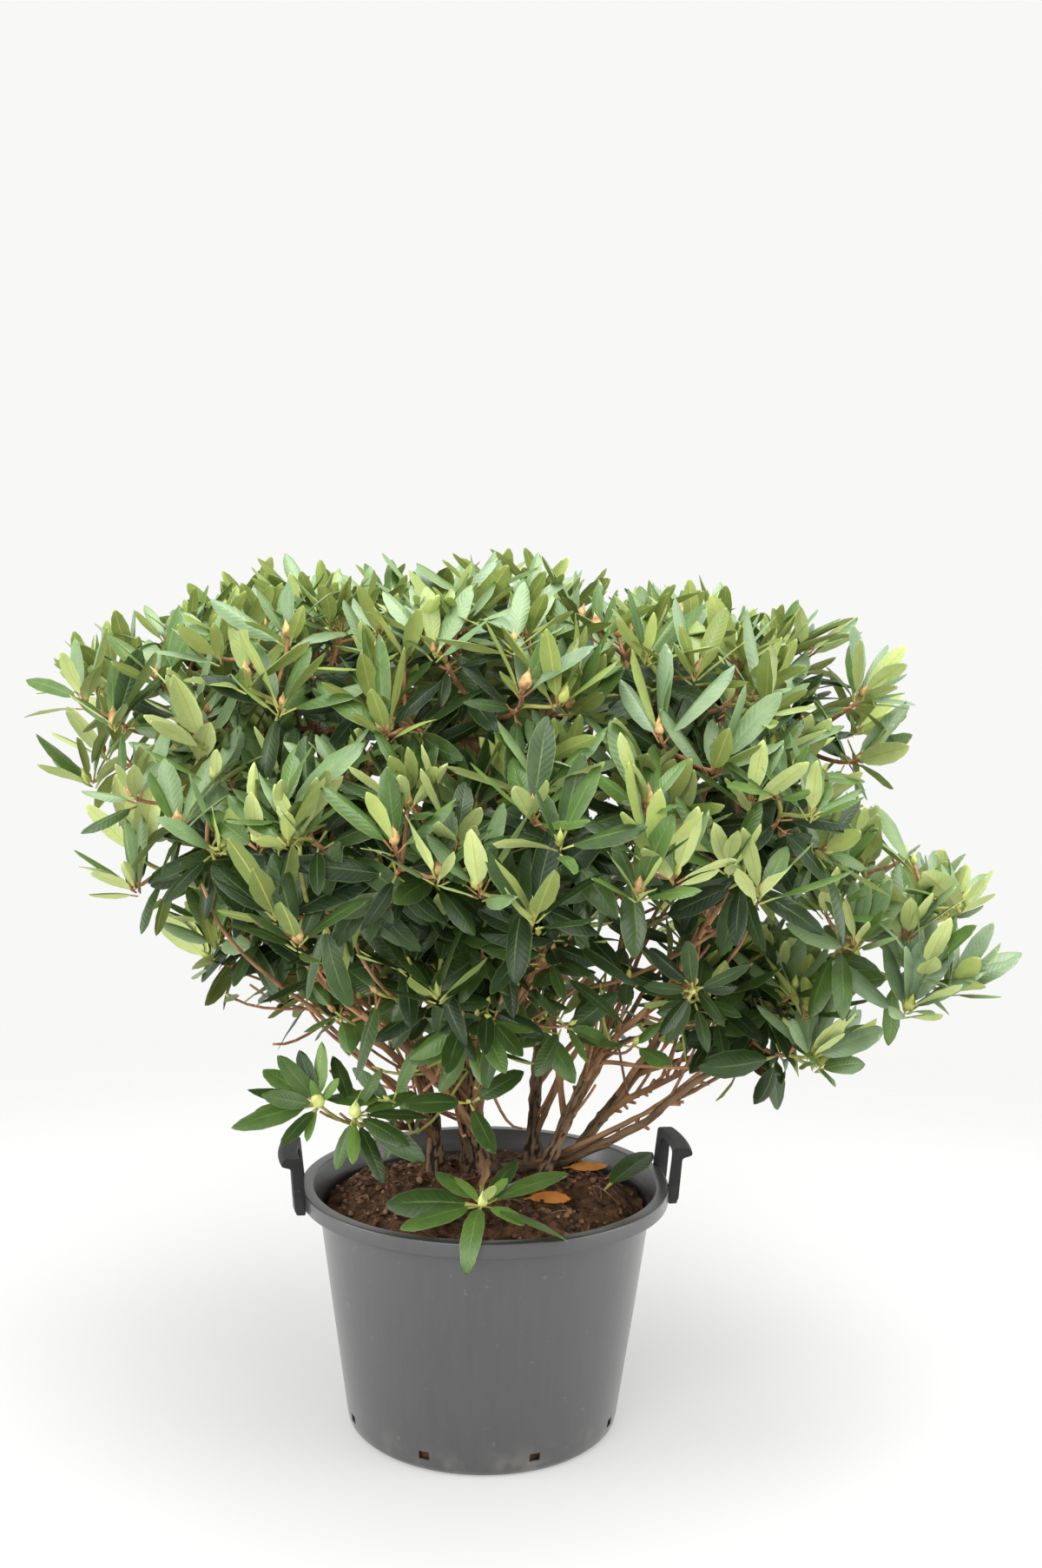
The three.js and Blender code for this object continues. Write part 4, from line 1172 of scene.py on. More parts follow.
def leaf_mesh(name, leaves):
    """Leaves with sharp borders and midrib, and the place across, along and the deal of each."""
    mesh = mesh_of(name, leaf_points(leaves), leaf_faces(), leaf_finishes(leaves))
    sides = len(LEAF_COLUMNS)
    corners = 2 + len(LEAF_ROWS) * sides
    is_line = np.isin((np.arange(corners) - 1) % sides, LEAF_LINES)
    is_line[[0, -1]] = True
    ends = np.zeros(2 * len(mesh.edges), np.int32)
    mesh.edges.foreach_get("vertices", ends)
    ends = ends.reshape(-1, 2) % corners
    along = np.abs(ends[:, 0] - ends[:, 1]) > sides - 1
    sharp = is_line[ends].all(axis=1) & along
    mesh.attributes.new("sharp_edge", "BOOLEAN", "EDGE").data.foreach_set("value", sharp)
    across = np.concatenate([[0], np.tile(LEAF_COLUMNS, len(LEAF_ROWS)), [0]])
    reach = np.concatenate([[0], np.repeat(LEAF_ROWS, sides), [1]])
    name_values(mesh, "leaf", joined(across, reach, leaves["deal"][:, None]).reshape(-1, 3))
    return mesh


def veins(finish, along, side):
    """Waves along the blade that run forward from the midrib to both edges."""
    return finish.sine(along * 84 - side * 13)


def leaf_top_finish(name, dark, light, sheen):
    """Satin green, lighter along the midrib and the border, with shallow veins to both sides."""
    finish = Finish(name, {"Specular IOR Level": sheen})
    across, along, deal = finish.parts(finish.attribute("leaf"))
    side = abs(across)
    mottle = finish.noise(45.0, 3.0)
    base = finish.between(finish.ease(mottle, 0.3, 0.7) * 0.5 + deal * 0.5, dark, light)
    rib = (1 - finish.ease(side, 0.02, 0.08)) * (1 - finish.ease(along, 0.6, 0.94))
    ribbed = finish.between(rib * 0.28, base, (140, 158, 100))
    border = finish.ease(side, 0.9, 1.0)
    finish.feed("Base Color", finish.between(border * 0.25, ribbed, (150, 162, 96)))
    finish.feed("Roughness", mottle * 0.16 + 0.3)
    finish.relief(veins(finish, along, side) * 0.35 + finish.noise(380.0, 2.0), 0.0006, 0.45)
    return finish


def leaf_under_finish(name, dark, light):
    """Matt and pale, with faint veins."""
    finish = Finish(name, {"Specular IOR Level": 0.3, "Roughness": 0.6})
    across, along, deal = finish.parts(finish.attribute("leaf"))
    faint = veins(finish, along, abs(across))
    mix = finish.ease(finish.noise(70.0, 3.0), 0.3, 0.7) * 0.5 + deal * 0.4 + faint * 0.08
    finish.feed("Base Color", finish.between(mix, dark, light))
    finish.relief(faint * 0.3 + finish.noise(500.0, 2.0), 0.0005, 0.4)
    return finish


def twig_finish(name, dark, light):
    """Matt and finely mottled, for twigs, buds, roots and crumbs."""
    finish = Finish(name, {"Specular IOR Level": 0.35, "Roughness": 0.6})
    finish.feed("Base Color", finish.between(finish.ease(finish.noise(120.0, 4.0), 0.3, 0.7), dark, light))
    finish.relief(finish.noise(600.0, 2.0), 0.0006, 0.5)
    return finish


# Each finish by its name, with its dark and its light colour, and the sheen of a leaf's top. The
# grey, bluish and olive tops, dealt high and out at the sides, are painted light and painted
# reflection, and leaf_deep, dealt low and inside, is painted shade
TOPS = {
    "leaf_deep": ((24, 41, 20), (37, 56, 25), 0.25),
    "leaf_dark": ((38, 58, 25), (53, 76, 32), 0.32),
    "leaf_green": ((60, 87, 37), (79, 106, 46), 0.4),
    "leaf_grey": ((92, 116, 76), (112, 136, 90), 0.5),
    "leaf_blue": ((97, 121, 90), (118, 139, 103), 0.5),
    "leaf_fresh": ((84, 116, 46), (104, 134, 60), 0.4),
    "leaf_olive": ((104, 119, 58), (126, 141, 72), 0.4),
}
UNDERS = {
    "under_green": ((132, 148, 76), (148, 162, 88)),
    "under_yellow": ((156, 172, 94), (170, 184, 106)),
    "under_pale": ((174, 188, 118), (188, 200, 132)),
    "under_shade": ((110, 126, 62), (126, 140, 72)),
    "keel_yellow": ((170, 170, 86), (184, 180, 98)),
    "stalk_green": ((152, 156, 80), (170, 172, 94)),
    "stalk_red": ((148, 104, 66), (164, 122, 80)),
    "dry_orange": ((176, 104, 42), (202, 140, 64)),
    "dry_brown": ((92, 62, 40), (120, 84, 54)),
}
TWIGS = {
    "twig_brown": ((120, 84, 60), (162, 118, 86)),
    "twig_red": ((132, 92, 66), (168, 122, 86)),
    "twig_green": ((138, 142, 70), (166, 164, 90)),
}
BUDS = {
    "bud_tan": ((146, 106, 66), (212, 174, 118)),
    "bud_green": ((164, 172, 84), (188, 192, 108)),
    "bud_pale": ((190, 196, 112), (212, 214, 140)),
}
PEAT = {
    "peat_dark": ((44, 31, 23), (66, 47, 34)),
    "peat_red": ((88, 57, 39), (116, 78, 54)),
    "peat_chip": ((116, 84, 58), (146, 110, 78)),
}
ROOTS = {"root_pale": ((104, 78, 56), (134, 106, 78))}
KIND = {name: i for names in ([*TOPS, *UNDERS], TWIGS, BUDS, PEAT) for i, name in enumerate(names)}


def finish_list(make, palette):
    """A finish for each name of the palette, in its order."""
    return [make(name, *looks) for name, looks in palette.items()]


# ---- foliage

# Whorls: by how many degrees the openness of their leaves varies, what differs on the wing and in
# an old whorl, and the shares of a shoot where old whorls sit, low in the crown and at its top
WHORL_SPREAD = 44
OLD_SPREAD = 26
WING_OPENNESS = 36
WING_LEAVES = 3
OLD_LEAVES = 5
OLD_SCALE = 0.95
OLD_LOW = (0.28, 0.6)
OLD_HIGH = (0.45,)

# Buds on the twigs' ends, how much smaller the small ones are, and how often an old leaf is dry
TIP_BUD_LENGTH = 0.027
TIP_BUD_RADIUS = 0.0073
SMALL_BUD = 0.55
DRY_CHANCE = 0.003


def gather(rows):
    """Rows of equal keys as one dict of arrays."""
    return {key: np.concatenate([row[key] for row in rows]) for key in rows[0]}


def by_height(height, low, middle, high):
    """A value that runs from low at the pot's rim over middle to high at the crown's top."""
    return float(np.interp(height, CROWN_LEVELS, [low, middle, high]))


class Foliage:
    """What has grown so far: twigs, leaves and buds, in lists that are joined at the end."""

    def __init__(self, space, thicket, draw):
        self.space = space
        self.thicket = thicket
        self.draw = draw
        self.twigs = []
        self.leaves = []
        self.buds = []

    def twig(self, corners, radii, kind):
        """A twig along the curve of its corners, from one radius to the other."""
        self.twigs.append({
            "path": bezier(corners, np.linspace(0, 1, TWIG_RINGS)[:, None])[None],
            "radii": np.linspace(*radii, TWIG_RINGS)[None],
            "kind": np.array([KIND[kind]]),
        })

    def bud(self, end, axis, size, kind=None):
        """A bud on the end of a twig, tan more often the higher it sits."""
        if kind is None:
            kind = "bud_green" if self.draw.random() > by_height(end[2], 0.05, 0.25, 0.85) else "bud_tan"
        size = self.draw.uniform(0.85, 1.2) * size
        self.buds.append({
            "foot": (end - axis * 0.002)[None],
            "axis": axis[None],
            "length": np.array([TIP_BUD_LENGTH * size**0.6]),
            "radius": np.array([TIP_BUD_RADIUS * size]),
            "kind": np.array([KIND[kind]]),
        })

    def trimmed(self, foot, way, face, length, bend):
        """The leaves' lengths, trimmed until each has room, and which of them have it."""
        keep = np.zeros(len(foot), bool)
        for trim in LEAF_TRIMS:
            reach = length * trim
            tip = foot + way * reach[:, None] - face * (reach * bend * 0.45)[:, None]
            belly = (foot + tip) / 2 + face * (reach * bend * 0.1)[:, None]
            fits = (self.space.reach(tip) < LEAF_LIMIT) & clear_of_pot(tip) & clear_of_pot(belly)
            fits &= clear_of_notch(tip, LEAF_REACH)
            start = foot + way * 0.03
            fits &= self.thicket.clear(start, belly, LEAF_GAPS[0])
            fits &= self.thicket.clear(belly, tip, LEAF_GAPS[1])
            length = np.where(fits & ~keep, reach, length)
            keep |= fits
        return length, keep

    def whorl(self, end, axis, phase, count, openness, scale, old=False):
        """Leaves round the end of a shoot, some way down it, opened out from its axis."""
        draw = self.draw
        height = end[2]
        order = np.arange(count)
        down = 1 - order / count
        turn = phase + order * GOLDEN_TURN + draw.normal(0, 0.15, count)
        side = square_to(axis)
        out = np.cos(turn)[:, None] * side + np.sin(turn)[:, None] * np.cross(axis, side)
        spread = OLD_SPREAD if old else WHORL_SPREAD
        open_by = openness + draw.normal(0, 9, count) - (order / count - 0.5) * spread
        open_by = np.radians(open_by)[:, None]
        way = unit(np.cos(open_by) * axis + np.sin(open_by) * out)
        face = unit(axis - way * dot(way, axis))
        roll = draw.normal(0, 0.3, count)[:, None]
        face = face * np.cos(roll) + np.cross(face, way) * np.sin(roll)
        foot = end - axis * (0.003 + 0.016 * down)[:, None] + out * 0.0012
        length = LEAF_LENGTH * scale * np.clip(draw.normal(1, 0.14, count), 0.6, 1.25)
        bend = np.abs(draw.normal(by_height(height, 0.42, 0.18, 0.2) + 0.45 * old, 0.2, count)) + 0.05
        length, keep = self.trimmed(foot, way, face, length, bend)
        if not keep.any():
            return
        top, under, stalk = self.shades(end, old)
        dry = (draw.random(count) < DRY_CHANCE) & old
        slimness = by_height(height, 0.165, 0.145, 0.122)
        row = {
            "foot": foot, "way": way, "face": face, "length": length, "bend": bend,
            "lift": draw.normal(0.10, 0.1, count),
            "twist": draw.normal(0, 0.38, count),
            "slimness": slimness * np.clip(draw.normal(1, 0.1, count), 0.75, 1.25),
            "fold": np.abs(draw.normal(0.24, 0.10, count)),
            "roll": np.abs(draw.normal(0.46, 0.18, count)),
            "deal": draw.random(count),
            "top": np.where(dry, KIND["dry_orange"], draw.choice(top, count)),
            "under": np.where(dry, KIND["dry_brown"], draw.choice(under, count)),
            "keel": np.full(count, KIND["keel_yellow"]),
            "stalk": np.full(count, stalk),
        }
        self.leaves.append({key: value[keep] for key, value in row.items()})

    def shades(self, place, old):
        """The finishes dealt to one spray: grey and bluish at the top, with pale undersides in a band
        below it and out at the sides, and dark further down, inside and on old whorls. The lighter
        palettes are painted light where light falls, the grey and bluish tops partly painted
        reflection, and the dark ones painted shade."""
        draw = self.draw
        height, aside = place[2], abs(place[0])
        # Lighter palettes where light falls and darker ones low and inside: painted light and painted shade
        if place[0] > BARE_FROM and not old:
            tops = ["leaf_green", "leaf_grey", "leaf_blue"]
            unders = ["under_yellow", "under_pale", "under_pale"]
        elif height < 0.74 and not old:
            tops = ["leaf_green", "leaf_green", "leaf_dark"]
            unders = ["under_green", "under_yellow"]
        elif (old and aside < BARE_FROM) or height < (0.70 if aside > PALE_FROM else 0.95):
            tops = ["leaf_deep", "leaf_deep", "leaf_dark", "leaf_dark"]
            unders = ["under_green", "under_shade", "under_yellow"]
        elif height < (1.18 if aside > PALE_FROM else 1.10):
            tops = ["leaf_dark", "leaf_green", "leaf_green", "leaf_grey"]
            unders = ["under_yellow", "under_pale", "under_pale"]
        else:
            tops = ["leaf_green", "leaf_grey", "leaf_blue", "leaf_grey", "leaf_olive"]
            unders = ["under_green", "under_yellow", "under_green"]
        stalk = "stalk_red" if draw.random() < by_height(height, 0.05, 0.12, 0.4) else "stalk_green"
        first, second, below = [KIND[draw.choice(names)] for names in (tops, tops, unders)]
        return [first, first, second], [below], KIND[stalk]

    def fan(self, shoot):
        """The twigs that carry a shoot on: a small fan about its axis, each with whorl and bud."""
        draw = self.draw
        count = int(draw.choice([2, 3, 3, 4]))
        grown = 0
        for k in range(count):
            way = fan_way(shoot.axis, k, count, draw.random(), TWIG_SPREAD)
            length = TWIG_LENGTH * draw.uniform(0.75, 1.3)
            for pull in TWIG_PULLS:
                end = shoot.end + way * length * pull
                rise = by_height(end[2], 0.5, 0.95, 0.85) if end[0] < BARE_FROM else 0.9
                lean = 0.45 if abs(end[0]) > BARE_FROM else 0.28
                axis = unit(way * lean + UP * rise + draw.normal(0, 0.12, 3))
                inside = self.space.holds(end, TWIG_LIMIT, TWIG_SPARE) and clear_of_pot(end)
                inside = inside and clear_of_notch(end, TWIG_REACH)
                if inside and self.thicket.clear(shoot.end + way * 0.02, end, TWIG_GAP):
                    self.tip(shoot.end, shoot.axis, end, axis)
                    grown += 1
                    break
        if not grown:
            self.tip(shoot.end - shoot.axis * 0.004, shoot.axis, shoot.end + shoot.axis * 0.008, shoot.axis)

    def tip(self, start, leave, end, axis):
        """A twig that leaves its start one way and ends along its axis, in a whorl round a bud."""
        draw = self.draw
        span = np.linalg.norm(end - start)
        kind = "twig_green" if draw.random() > by_height(end[2], 0.1, 0.25, 0.75) else "twig_red"
        self.twig([start, start + leave * span * 0.3, end - axis * span * 0.3, end], TIP_TWIG, kind)
        on_wing = end[0] > BARE_FROM
        openness = WING_OPENNESS if on_wing else by_height(end[2], 66, 40, 43)
        count = int(draw.integers(7, 10)) + WING_LEAVES * on_wing
        self.whorl(end, axis, draw.random() * TURN, count, openness, draw.uniform(0.82, 1.08))
        self.bud(end, axis, 1 if draw.random() < 0.65 else SMALL_BUD)


# The two low sprays: each whorl's heart, the way that its leaves face, the tips of its grown and its
# young leaves, how broad they are, its bud's size, and the tip of a leaf that hangs down
Whorl = namedtuple("Whorl", "heart guide tips young broad bud hangs", defaults=(1, 1.4, None))
SPRAYS = {
    "spray_left": [
        Whorl((-0.253, -0.150, 0.558), (-0.3, -0.7, 0.6), [
            (-0.312, -0.165, 0.634), (-0.287, -0.120, 0.631), (-0.359, -0.140, 0.575),
            (-0.376, -0.190, 0.540), (-0.345, -0.160, 0.546), (-0.348, -0.100, 0.604),
            (-0.330, -0.205, 0.588), (-0.300, -0.215, 0.512), (-0.252, -0.110, 0.640),
        ], [(-0.224, -0.170, 0.603), (-0.270, -0.190, 0.519), (-0.262, -0.172, 0.600)]),
        Whorl((-0.199, -0.150, 0.542), (0.2, -0.5, 0.8), [
            (-0.088, -0.170, 0.548), (-0.092, -0.210, 0.496), (-0.111, -0.120, 0.566),
            (-0.224, -0.175, 0.468), (-0.156, -0.172, 0.446), (-0.159, -0.130, 0.606),
            (-0.240, -0.090, 0.610), (-0.122, -0.215, 0.530), (-0.196, -0.205, 0.488),
        ], [(-0.112, -0.178, 0.504), (-0.188, -0.165, 0.586)]),
    ],
    "spray_rim": [
        Whorl((0.000, -0.215, 0.426), (0, -0.2, 1), [
            (-0.143, -0.200, 0.429), (-0.116, -0.262, 0.415), (0.124, -0.205, 0.467),
            (0.126, -0.282, 0.412), (-0.071, -0.150, 0.456), (0.047, -0.150, 0.475),
            (0.087, -0.120, 0.454), (0.060, -0.262, 0.422),
        ], [(-0.040, -0.190, 0.462), (0.016, -0.240, 0.470), (0.034, -0.195, 0.462)],
            broad=1.2, bud=0.8, hangs=(-0.018, -0.322, 0.426)),
    ],
}
HANGING = {"length": 0.140, "lift": 0.3, "bend": 1.8, "slimness": 0.12}


def set_leaf(leaves, row, looks):
    """Gives one leaf of the rows its own looks."""
    for key, value in looks.items():
        leaves[key][row] = value


def spray_whorl(foliage, start, whorl):
    """A whorl of a low spray: broad leaves from its heart to their tips, small pale ones among
    them, and the shoot that carries it. One leaf may hang, bent down from its way."""
    draw = foliage.draw
    heart = np.array(whorl.heart)
    grown = len(whorl.tips)
    tips = np.array([*whorl.tips, *whorl.young, *([whorl.hangs] if whorl.hangs else [])])
    count = len(tips)
    way = unit(tips - heart)
    guide = unit(np.array(whorl.guide)) + draw.normal(0, 0.2, (count, 3))
    young = np.isin(np.arange(count), grown + np.arange(len(whorl.young)))
    greens = [KIND["leaf_green"], KIND["leaf_green"], KIND["leaf_dark"]]
    leaves = {
        "foot": heart + way * 0.002,
        "way": way,
        "face": unit(guide - way * dot(way, guide)),
        "length": np.linalg.norm(tips - heart, axis=1) * 1.04,
        "bend": draw.uniform(0.2, 0.6, count),
        "lift": draw.uniform(0.1, 0.25, count),
        "twist": draw.normal(0, 0.35, count),
        "slimness": draw.uniform(0.125, 0.155, count) * whorl.broad,
        "fold": draw.uniform(0.15, 0.35, count),
        "roll": draw.uniform(0.2, 0.5, count),
        "deal": draw.random(count),
        "top": np.where(young, KIND["leaf_fresh"], draw.choice(greens, count)),
        "under": np.where(young, KIND["under_pale"], KIND["under_green"]),
        "keel": np.full(count, KIND["keel_yellow"]),
        "stalk": np.full(count, KIND["stalk_green"]),
    }
    set_leaf(leaves, grown - 1, {"top": KIND["leaf_fresh"]})
    if whorl.hangs:
        set_leaf(leaves, -1, HANGING)
    foliage.leaves.append(leaves)
    corners = [start, start + (heart - start) * 0.4 - UP * 0.02, heart]
    foliage.twig(corners, SPRAY_TWIG, "twig_green")
    foliage.bud(heart, unit(np.array(whorl.guide) + UP), whorl.bud, "bud_pale")


def grow_foliage(mass, limb, thicket):
    """One mass: its stem carries on from its limb, its shoots leave the stem, and each fans out.
    The two low sprays have only the whorls that are told."""
    index = CROWN.index(mass)
    space = Space(mass)
    foliage = Foliage(space, thicket, np.random.default_rng([GROWTH_SEED, index]))
    way = unit(limb.points[-1] - limb.points[-2])
    start = limb.points[-1] + way * FIT
    if mass.name in SPRAYS:
        for whorl in SPRAYS[mass.name]:
            spray_whorl(foliage, start, whorl)
        return foliage
    end = space.centre + mass_facing(mass) * mass.tall * MASS_HEART
    corners = [start, start + way * np.linalg.norm(end - start) * 0.5, end]
    coarse = bezier(corners, np.linspace(0, 1, 4)[:, None])
    foliage.twig([start - way * 0.004, *corners[1:]], HEART_TWIG, "twig_brown")
    for shoot in grow_shoots(space, coarse, thicket, make_random(GROWTH_SEED + index)):
        span = np.linalg.norm(shoot.end - shoot.start)
        bend = [shoot.start, shoot.end - shoot.axis * span * 0.35, shoot.end]
        foliage.twig(bend, SHOOT_TWIG, "twig_red" if foliage.draw.random() < 0.5 else "twig_brown")
        openness = by_height(shoot.end[2], 96, 84, 78)
        foliage.whorl(shoot.end, shoot.axis, shoot.phase, OLD_LEAVES, openness, OLD_SCALE, True)
        shares = OLD_LOW if shoot.end[2] < OPEN_FROM else OLD_HIGH
        for share in shares if abs(shoot.end[0]) < BARE_FROM else ():
            middle = shoot.start + (shoot.end - shoot.start) * share
            along = unit(shoot.end - shoot.start)
            foliage.whorl(middle, along, shoot.phase + 9 * share, OLD_LEAVES, 80, OLD_SCALE, True)
        foliage.fan(shoot)
    return foliage


# The room under the crown, and the twigs that grow from each limb there
BOWL_HEIGHTS = (0.47, 0.70, 0.95)
BOWL_RADII = (0.24, 0.42, 0.60)
SIDE_TWIGS = 32
SIDE_TOP = 0.86
STUB_CHANCE = 0.3
GAP_CHANCE = 0.25
SIDE_KINDS = ["twig_brown", "twig_red", "twig_red", "twig_green"]


class Bowl:
    """The room under the crown: a cone that opens from the pot's rim to the lowest masses."""

    def reach(self, points):
        """How far out the points are, as a share of the bowl, and far outside it below its foot."""
        radius = np.hypot(points[..., 0], points[..., 1])
        share = radius / np.interp(points[..., 2], BOWL_HEIGHTS, BOWL_RADII)
        return np.where(points[..., 2] > BOWL_HEIGHTS[0], share, 9.0)


def grow_side_twigs(limbs, thicket):
    """Thin shoots that leave the limbs under the crown: stubs, bare twigs, and twigs that end in
    a small whorl."""
    bowl = Bowl()
    draw = np.random.default_rng([GROWTH_SEED, SIDE_TWIG_DRAWS])
    foliage = Foliage(bowl, thicket, draw)
    for limb in limbs:
        for share in np.sort(draw.uniform(0.06, 0.97, SIDE_TWIGS)):
            start = point_on(limb.points, share)
            if not BOWL_HEIGHTS[0] - 0.03 < start[2] < SIDE_TOP:
                continue
            along = unit(point_on(limb.points, share + 0.04) - start + UP * 1e-4)
            out = unit(start * (1, 1, 0) + draw.normal(0, 0.2, 3))
            way = unit(along * 0.55 + out * 0.45 + draw.normal(0, 0.38, 3))
            length = draw.uniform(0.07, 0.19)
            end = start + way * length + UP * 0.02
            if draw.random() < STUB_CHANCE:
                foliage.twig([start, start + way * 0.02], STUB_TWIG, "twig_brown")
                continue
            if bowl.reach(end) > 1 or not clear_of_pot(end):
                continue
            leafy = draw.random() < np.interp(end[2], [0.60, 0.78], [0.05, 0.5])
            if not leafy and draw.random() < GAP_CHANCE:
                continue
            axis = unit(way * 0.7 + UP * 0.45)
            corners = [start, start + way * length * 0.4, end - axis * length * 0.3, end]
            foliage.twig(corners, SIDE_TWIG, draw.choice(SIDE_KINDS))
            if leafy:
                count = int(draw.integers(3, 7))
                foliage.whorl(end, axis, draw.random() * TURN, count, 76, draw.uniform(0.65, 0.92))
                foliage.bud(end, axis, SMALL_BUD)
    return foliage


def twig_mesh(name, twigs):
    """All the twigs as tubes of one mesh."""
    points = tube_points(twigs["path"], twigs["radii"], TWIG_SIDES)
    return tube_mesh(name, points, TWIG_SIDES, twigs["kind"])


BUD_SHARES = np.array([0.0, 0.14, 0.34, 0.56, 0.78, 0.93])
BUD_TRIMS = np.array([0.7, 1, 1, 0.92, 0.6, 0.22])
BUD_SIDES = 7


def bud_mesh(name, buds):
    """Pointed buds: a tube whose radius is a lopsided sine of the height, with the scales stepped
    out on every other corner."""
    path = buds["foot"][:, None] + buds["axis"][:, None] * (BUD_SHARES * buds["length"][:, None])[..., None]
    swell = 0.42 + 0.58 * np.sin(math.pi * np.clip(BUD_SHARES * 0.9 + 0.12, 0, 1) ** 0.8)
    step = (np.arange(len(BUD_SHARES))[:, None] + np.arange(BUD_SIDES)) % 2
    radii = buds["radius"][:, None, None] * (swell * BUD_TRIMS)[:, None] * (1 + 0.13 * step)
    points = tube_points(path, radii, BUD_SIDES)
    points[:, -1] = buds["foot"] + buds["axis"] * buds["length"][:, None] * 1.06
    return tube_mesh(name, points, BUD_SIDES, buds["kind"])


def dress_foliage(limbs, leaf_list):
    """The foliage of each tier as three pieces, its leaves, its twigs and its buds, and the twigs
    under the crown with the lowest tier."""
    thicket = Thicket(limbs)
    twig_list, bud_list = [finish_list(twig_finish, palette) for palette in (TWIGS, BUDS)]
    limb_of = {limb.mass.name: limb for limb in limbs}
    sets = [
        (tier, masses, [grow_foliage(mass, limb_of[mass.name], thicket) for mass in masses])
        for tier, masses in TIERS.items()
    ]
    sets.append(("under", TIERS["low"], [grow_side_twigs(limbs, thicket)]))
    for tier, masses, grown in sets:
        nodes = [f"foliage_{mass.name}" for mass in masses]
        for kind, make, finishes, slot in (
            ("leaves", leaf_mesh, leaf_list, "foliage"),
            ("twigs", twig_mesh, twig_list, "bough_bark"),
            ("buds", bud_mesh, bud_list, "foliage"),
        ):
            rows = gather([row for each in grown for row in getattr(each, kind)])
            name = f"{kind}_{tier}"
            make_piece(name, make(name, rows), finishes, slot, *nodes)


# ---- the pot and what lies in it


def dress_pot():
    """The wall, the straps on its two sides, and the compost."""
    plastic = pot_finish("pot_plastic", (38, 39, 40), (60, 60, 61), 0.75)
    strap = pot_finish("strap_plastic", (14, 14, 15), (26, 26, 27), 0.1)
    make_piece("pot_wall", pot_mesh(), [plastic], "pot_plastic", "pot")
    for turn, name in ((HANDLE_TURN, "handle_right"), (HANDLE_TURN + 180, "handle_left")):
        make_piece(f"strap_{name}", handle_mesh(turn), [strap], "pot_plastic", name)
    make_piece("compost_bed", compost_mesh(), [compost_finish()], "compost", "compost")


def scatter(draw, count, reach):
    """Seeded places on the compost, as x, y and its height there."""
    radius = reach * np.sqrt(draw.uniform(0.02, 1, count))
    turn = draw.uniform(0, TURN, count)
    x, y = radius * np.cos(turn), radius * np.sin(turn)
    return joined(x, y, compost_height(x, y))


CRUMBS = 800
CRUMB_SIDES = 6
CRUMB_SHARES = np.array([-0.8, 0.0, 0.75])
CRUMB_WIDTHS = np.array([0.55, 0.85, 0.5])


def crumb_mesh(draw):
    """Lumps of peat: short, fat, uneven tubes, most of them small."""
    size = 0.0012 + 0.0062 * draw.random((CRUMBS, 1)) ** 2.2
    way = unit(draw.normal(0, 1, (CRUMBS, 3)) * (1, 1, 0.3))
    middle = scatter(draw, CRUMBS, 0.245) + UP * size * 0.4
    path = middle[:, None] + way[:, None] * (size * CRUMB_SHARES)[..., None]
    uneven = draw.uniform(0.7, 1.25, (CRUMBS, len(CRUMB_SHARES), CRUMB_SIDES))
    points = tube_points(path, size[..., None] * CRUMB_WIDTHS[:, None] * uneven, CRUMB_SIDES)
    points[:, 0] -= way * size * 0.3
    points[:, -1] += way * size * 0.3
    return tube_mesh("crumbs", points, CRUMB_SIDES, draw.choice([0, 0, 1, 1, 2], (CRUMBS, 1)))


ROOTLETS = 56
ROOTLET_SIDES = 5
ROOTLET_RINGS = 8


def rootlet_mesh(draw):
    """Thin roots that arch out of the compost and back, those that stay inside the pot."""
    start = scatter(draw, ROOTLETS, 0.23)
    turn = draw.uniform(0, TURN, ROOTLETS)
    way = joined(np.cos(turn), np.sin(turn), 0.0)
    length = draw.uniform(0.02, 0.075, (ROOTLETS, 1))
    end = start + way * length
    inside = np.hypot(end[:, 0], end[:, 1]) < 0.25
    end[:, 2] = compost_height(end[:, 0], end[:, 1])
    side = np.cross(way, UP) * draw.normal(0, 0.3, (ROOTLETS, 1)) * length
    corners = [
        start - UP * 0.003,
        start + way * length * 0.3 + side + UP * 0.009,
        end - way * length * 0.3 + side + UP * 0.007,
        end - UP * 0.003,
    ]
    share = np.linspace(0, 1, ROOTLET_RINGS)[:, None]
    path = bezier([corner[inside][:, None] for corner in corners], share)
    radii = np.repeat(draw.uniform(0.0005, 0.0012, (inside.sum(), 1)), ROOTLET_RINGS, axis=1)
    return tube_mesh("rootlets", tube_points(path, radii, ROOTLET_SIDES), ROOTLET_SIDES)


DRY_LEAVES = 13

# x, y and turn in degrees of the dry leaves that show best, and the kind of each
DRY_PLACES = [
    (-0.080, 0.130, -110), (0.125, 0.072, 12), (0.060, -0.066, -8), (0.195, 0.020, 50), (-0.055, -0.195, 2),
]
DRY_KINDS = ["dry_orange"] * 4 + ["dry_brown"]

# The green leaf that leans inside the rim: its foot, the way that it points and where its face looks
LEANING_FOOT = (0.190, -0.020, 0.386)
LEANING_WAY = unit(np.array([0.56, 0.66, 0.30]))
LEANING_TOWARDS = np.array([-0.45, -0.7, 0.6])
LEANING = {
    "foot": LEANING_FOOT,
    "way": LEANING_WAY,
    "face": unit(LEANING_TOWARDS - LEANING_WAY * (LEANING_TOWARDS @ LEANING_WAY)),
    "length": 0.140, "bend": 0.2, "lift": 0.0, "twist": 0.1, "slimness": 0.17, "roll": 0.3,
    "top": KIND["leaf_dark"],
    "under": KIND["under_shade"],
    "keel": KIND["keel_yellow"],
    "stalk": KIND["stalk_green"],
}


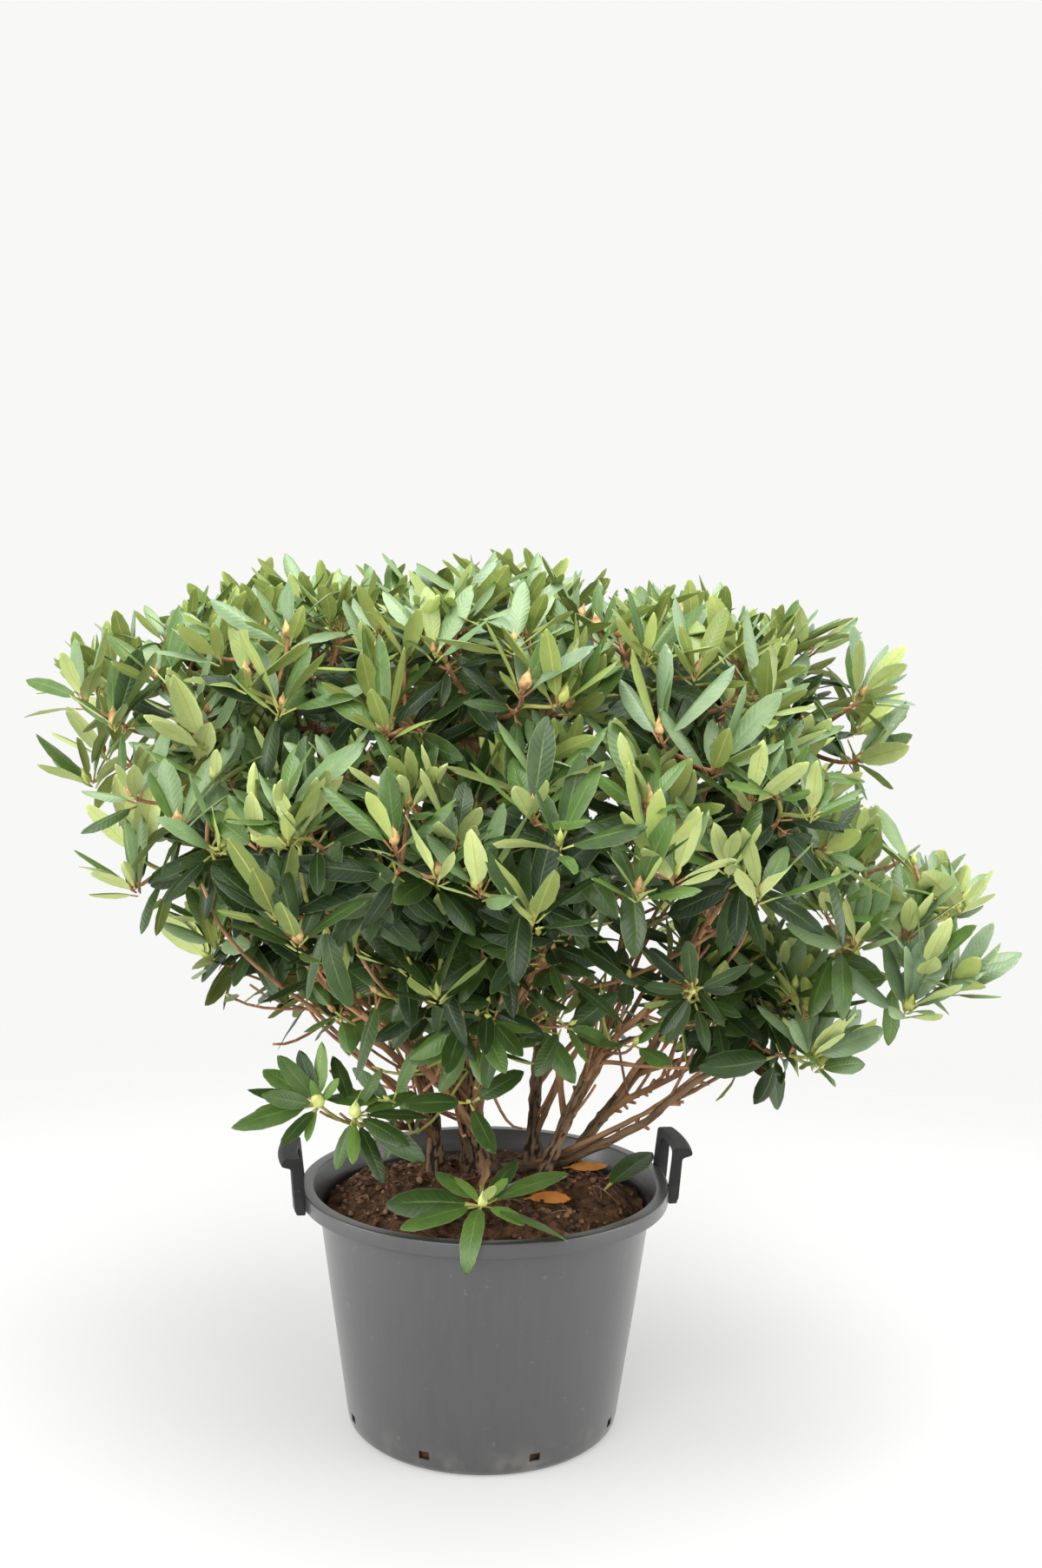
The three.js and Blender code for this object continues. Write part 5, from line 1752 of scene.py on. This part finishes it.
def fallen_leaves(draw):
    """Dry leaves that lie curled on the compost, and one green leaf that leans inside the rim."""
    count = DRY_LEAVES
    foot = scatter(draw, count, 0.19) + UP * 0.004
    turn = draw.uniform(0, TURN, count)
    placed = slice(1, 1 + len(DRY_PLACES))
    x, y, degrees = np.array(DRY_PLACES).T
    foot[placed] = joined(x, y, compost_height(x, y) + 0.006)
    turn[placed] = np.radians(degrees)
    way = unit(joined(np.cos(turn), np.sin(turn), draw.uniform(-0.02, 0.12, count)))
    face = UP + draw.normal(0, 0.25, (count, 3))
    face[placed] -= (0, 0.7, 0)
    kind = draw.choice([KIND["dry_brown"], KIND["dry_brown"], KIND["dry_orange"]], count)
    kind[placed] = [KIND[name] for name in DRY_KINDS]
    leaves = {
        "foot": foot,
        "way": way,
        "face": unit(face - way * dot(face, way)),
        "length": draw.uniform(0.05, 0.085, count),
        "bend": draw.uniform(0.3, 0.9, count),
        "lift": draw.uniform(0.1, 0.4, count),
        "twist": draw.normal(0, 0.5, count),
        "slimness": draw.uniform(0.10, 0.17, count),
        "fold": draw.uniform(0.1, 0.5, count),
        "roll": draw.uniform(0.2, 0.9, count),
        "deal": draw.random(count),
        **{key: kind.copy() for key in ("top", "under", "keel", "stalk")},
    }
    set_leaf(leaves, 0, LEANING)
    return leaves


def dress_litter(leaf_list):
    """What lies on the compost: crumbs of peat, rootlets and fallen leaves."""
    draw = np.random.default_rng([GROWTH_SEED, LITTER_DRAWS])
    peat, roots = [finish_list(twig_finish, palette) for palette in (PEAT, ROOTS)]
    make_piece("peat_crumbs", crumb_mesh(draw), peat, "compost", "compost")
    make_piece("rootlets", rootlet_mesh(draw), roots, "compost", "compost")
    make_piece("fallen_leaves", leaf_mesh("fallen_leaves", fallen_leaves(draw)), leaf_list, "foliage")


set_camera()
set_stage()
dress_pot()
leaf_kinds = finish_list(leaf_top_finish, TOPS) + finish_list(leaf_under_finish, UNDERS)
dress_litter(leaf_kinds)
all_limbs = grow_limbs()
dress_limbs(all_limbs, grow_rods(all_limbs))
dress_foliage(all_limbs, leaf_kinds)
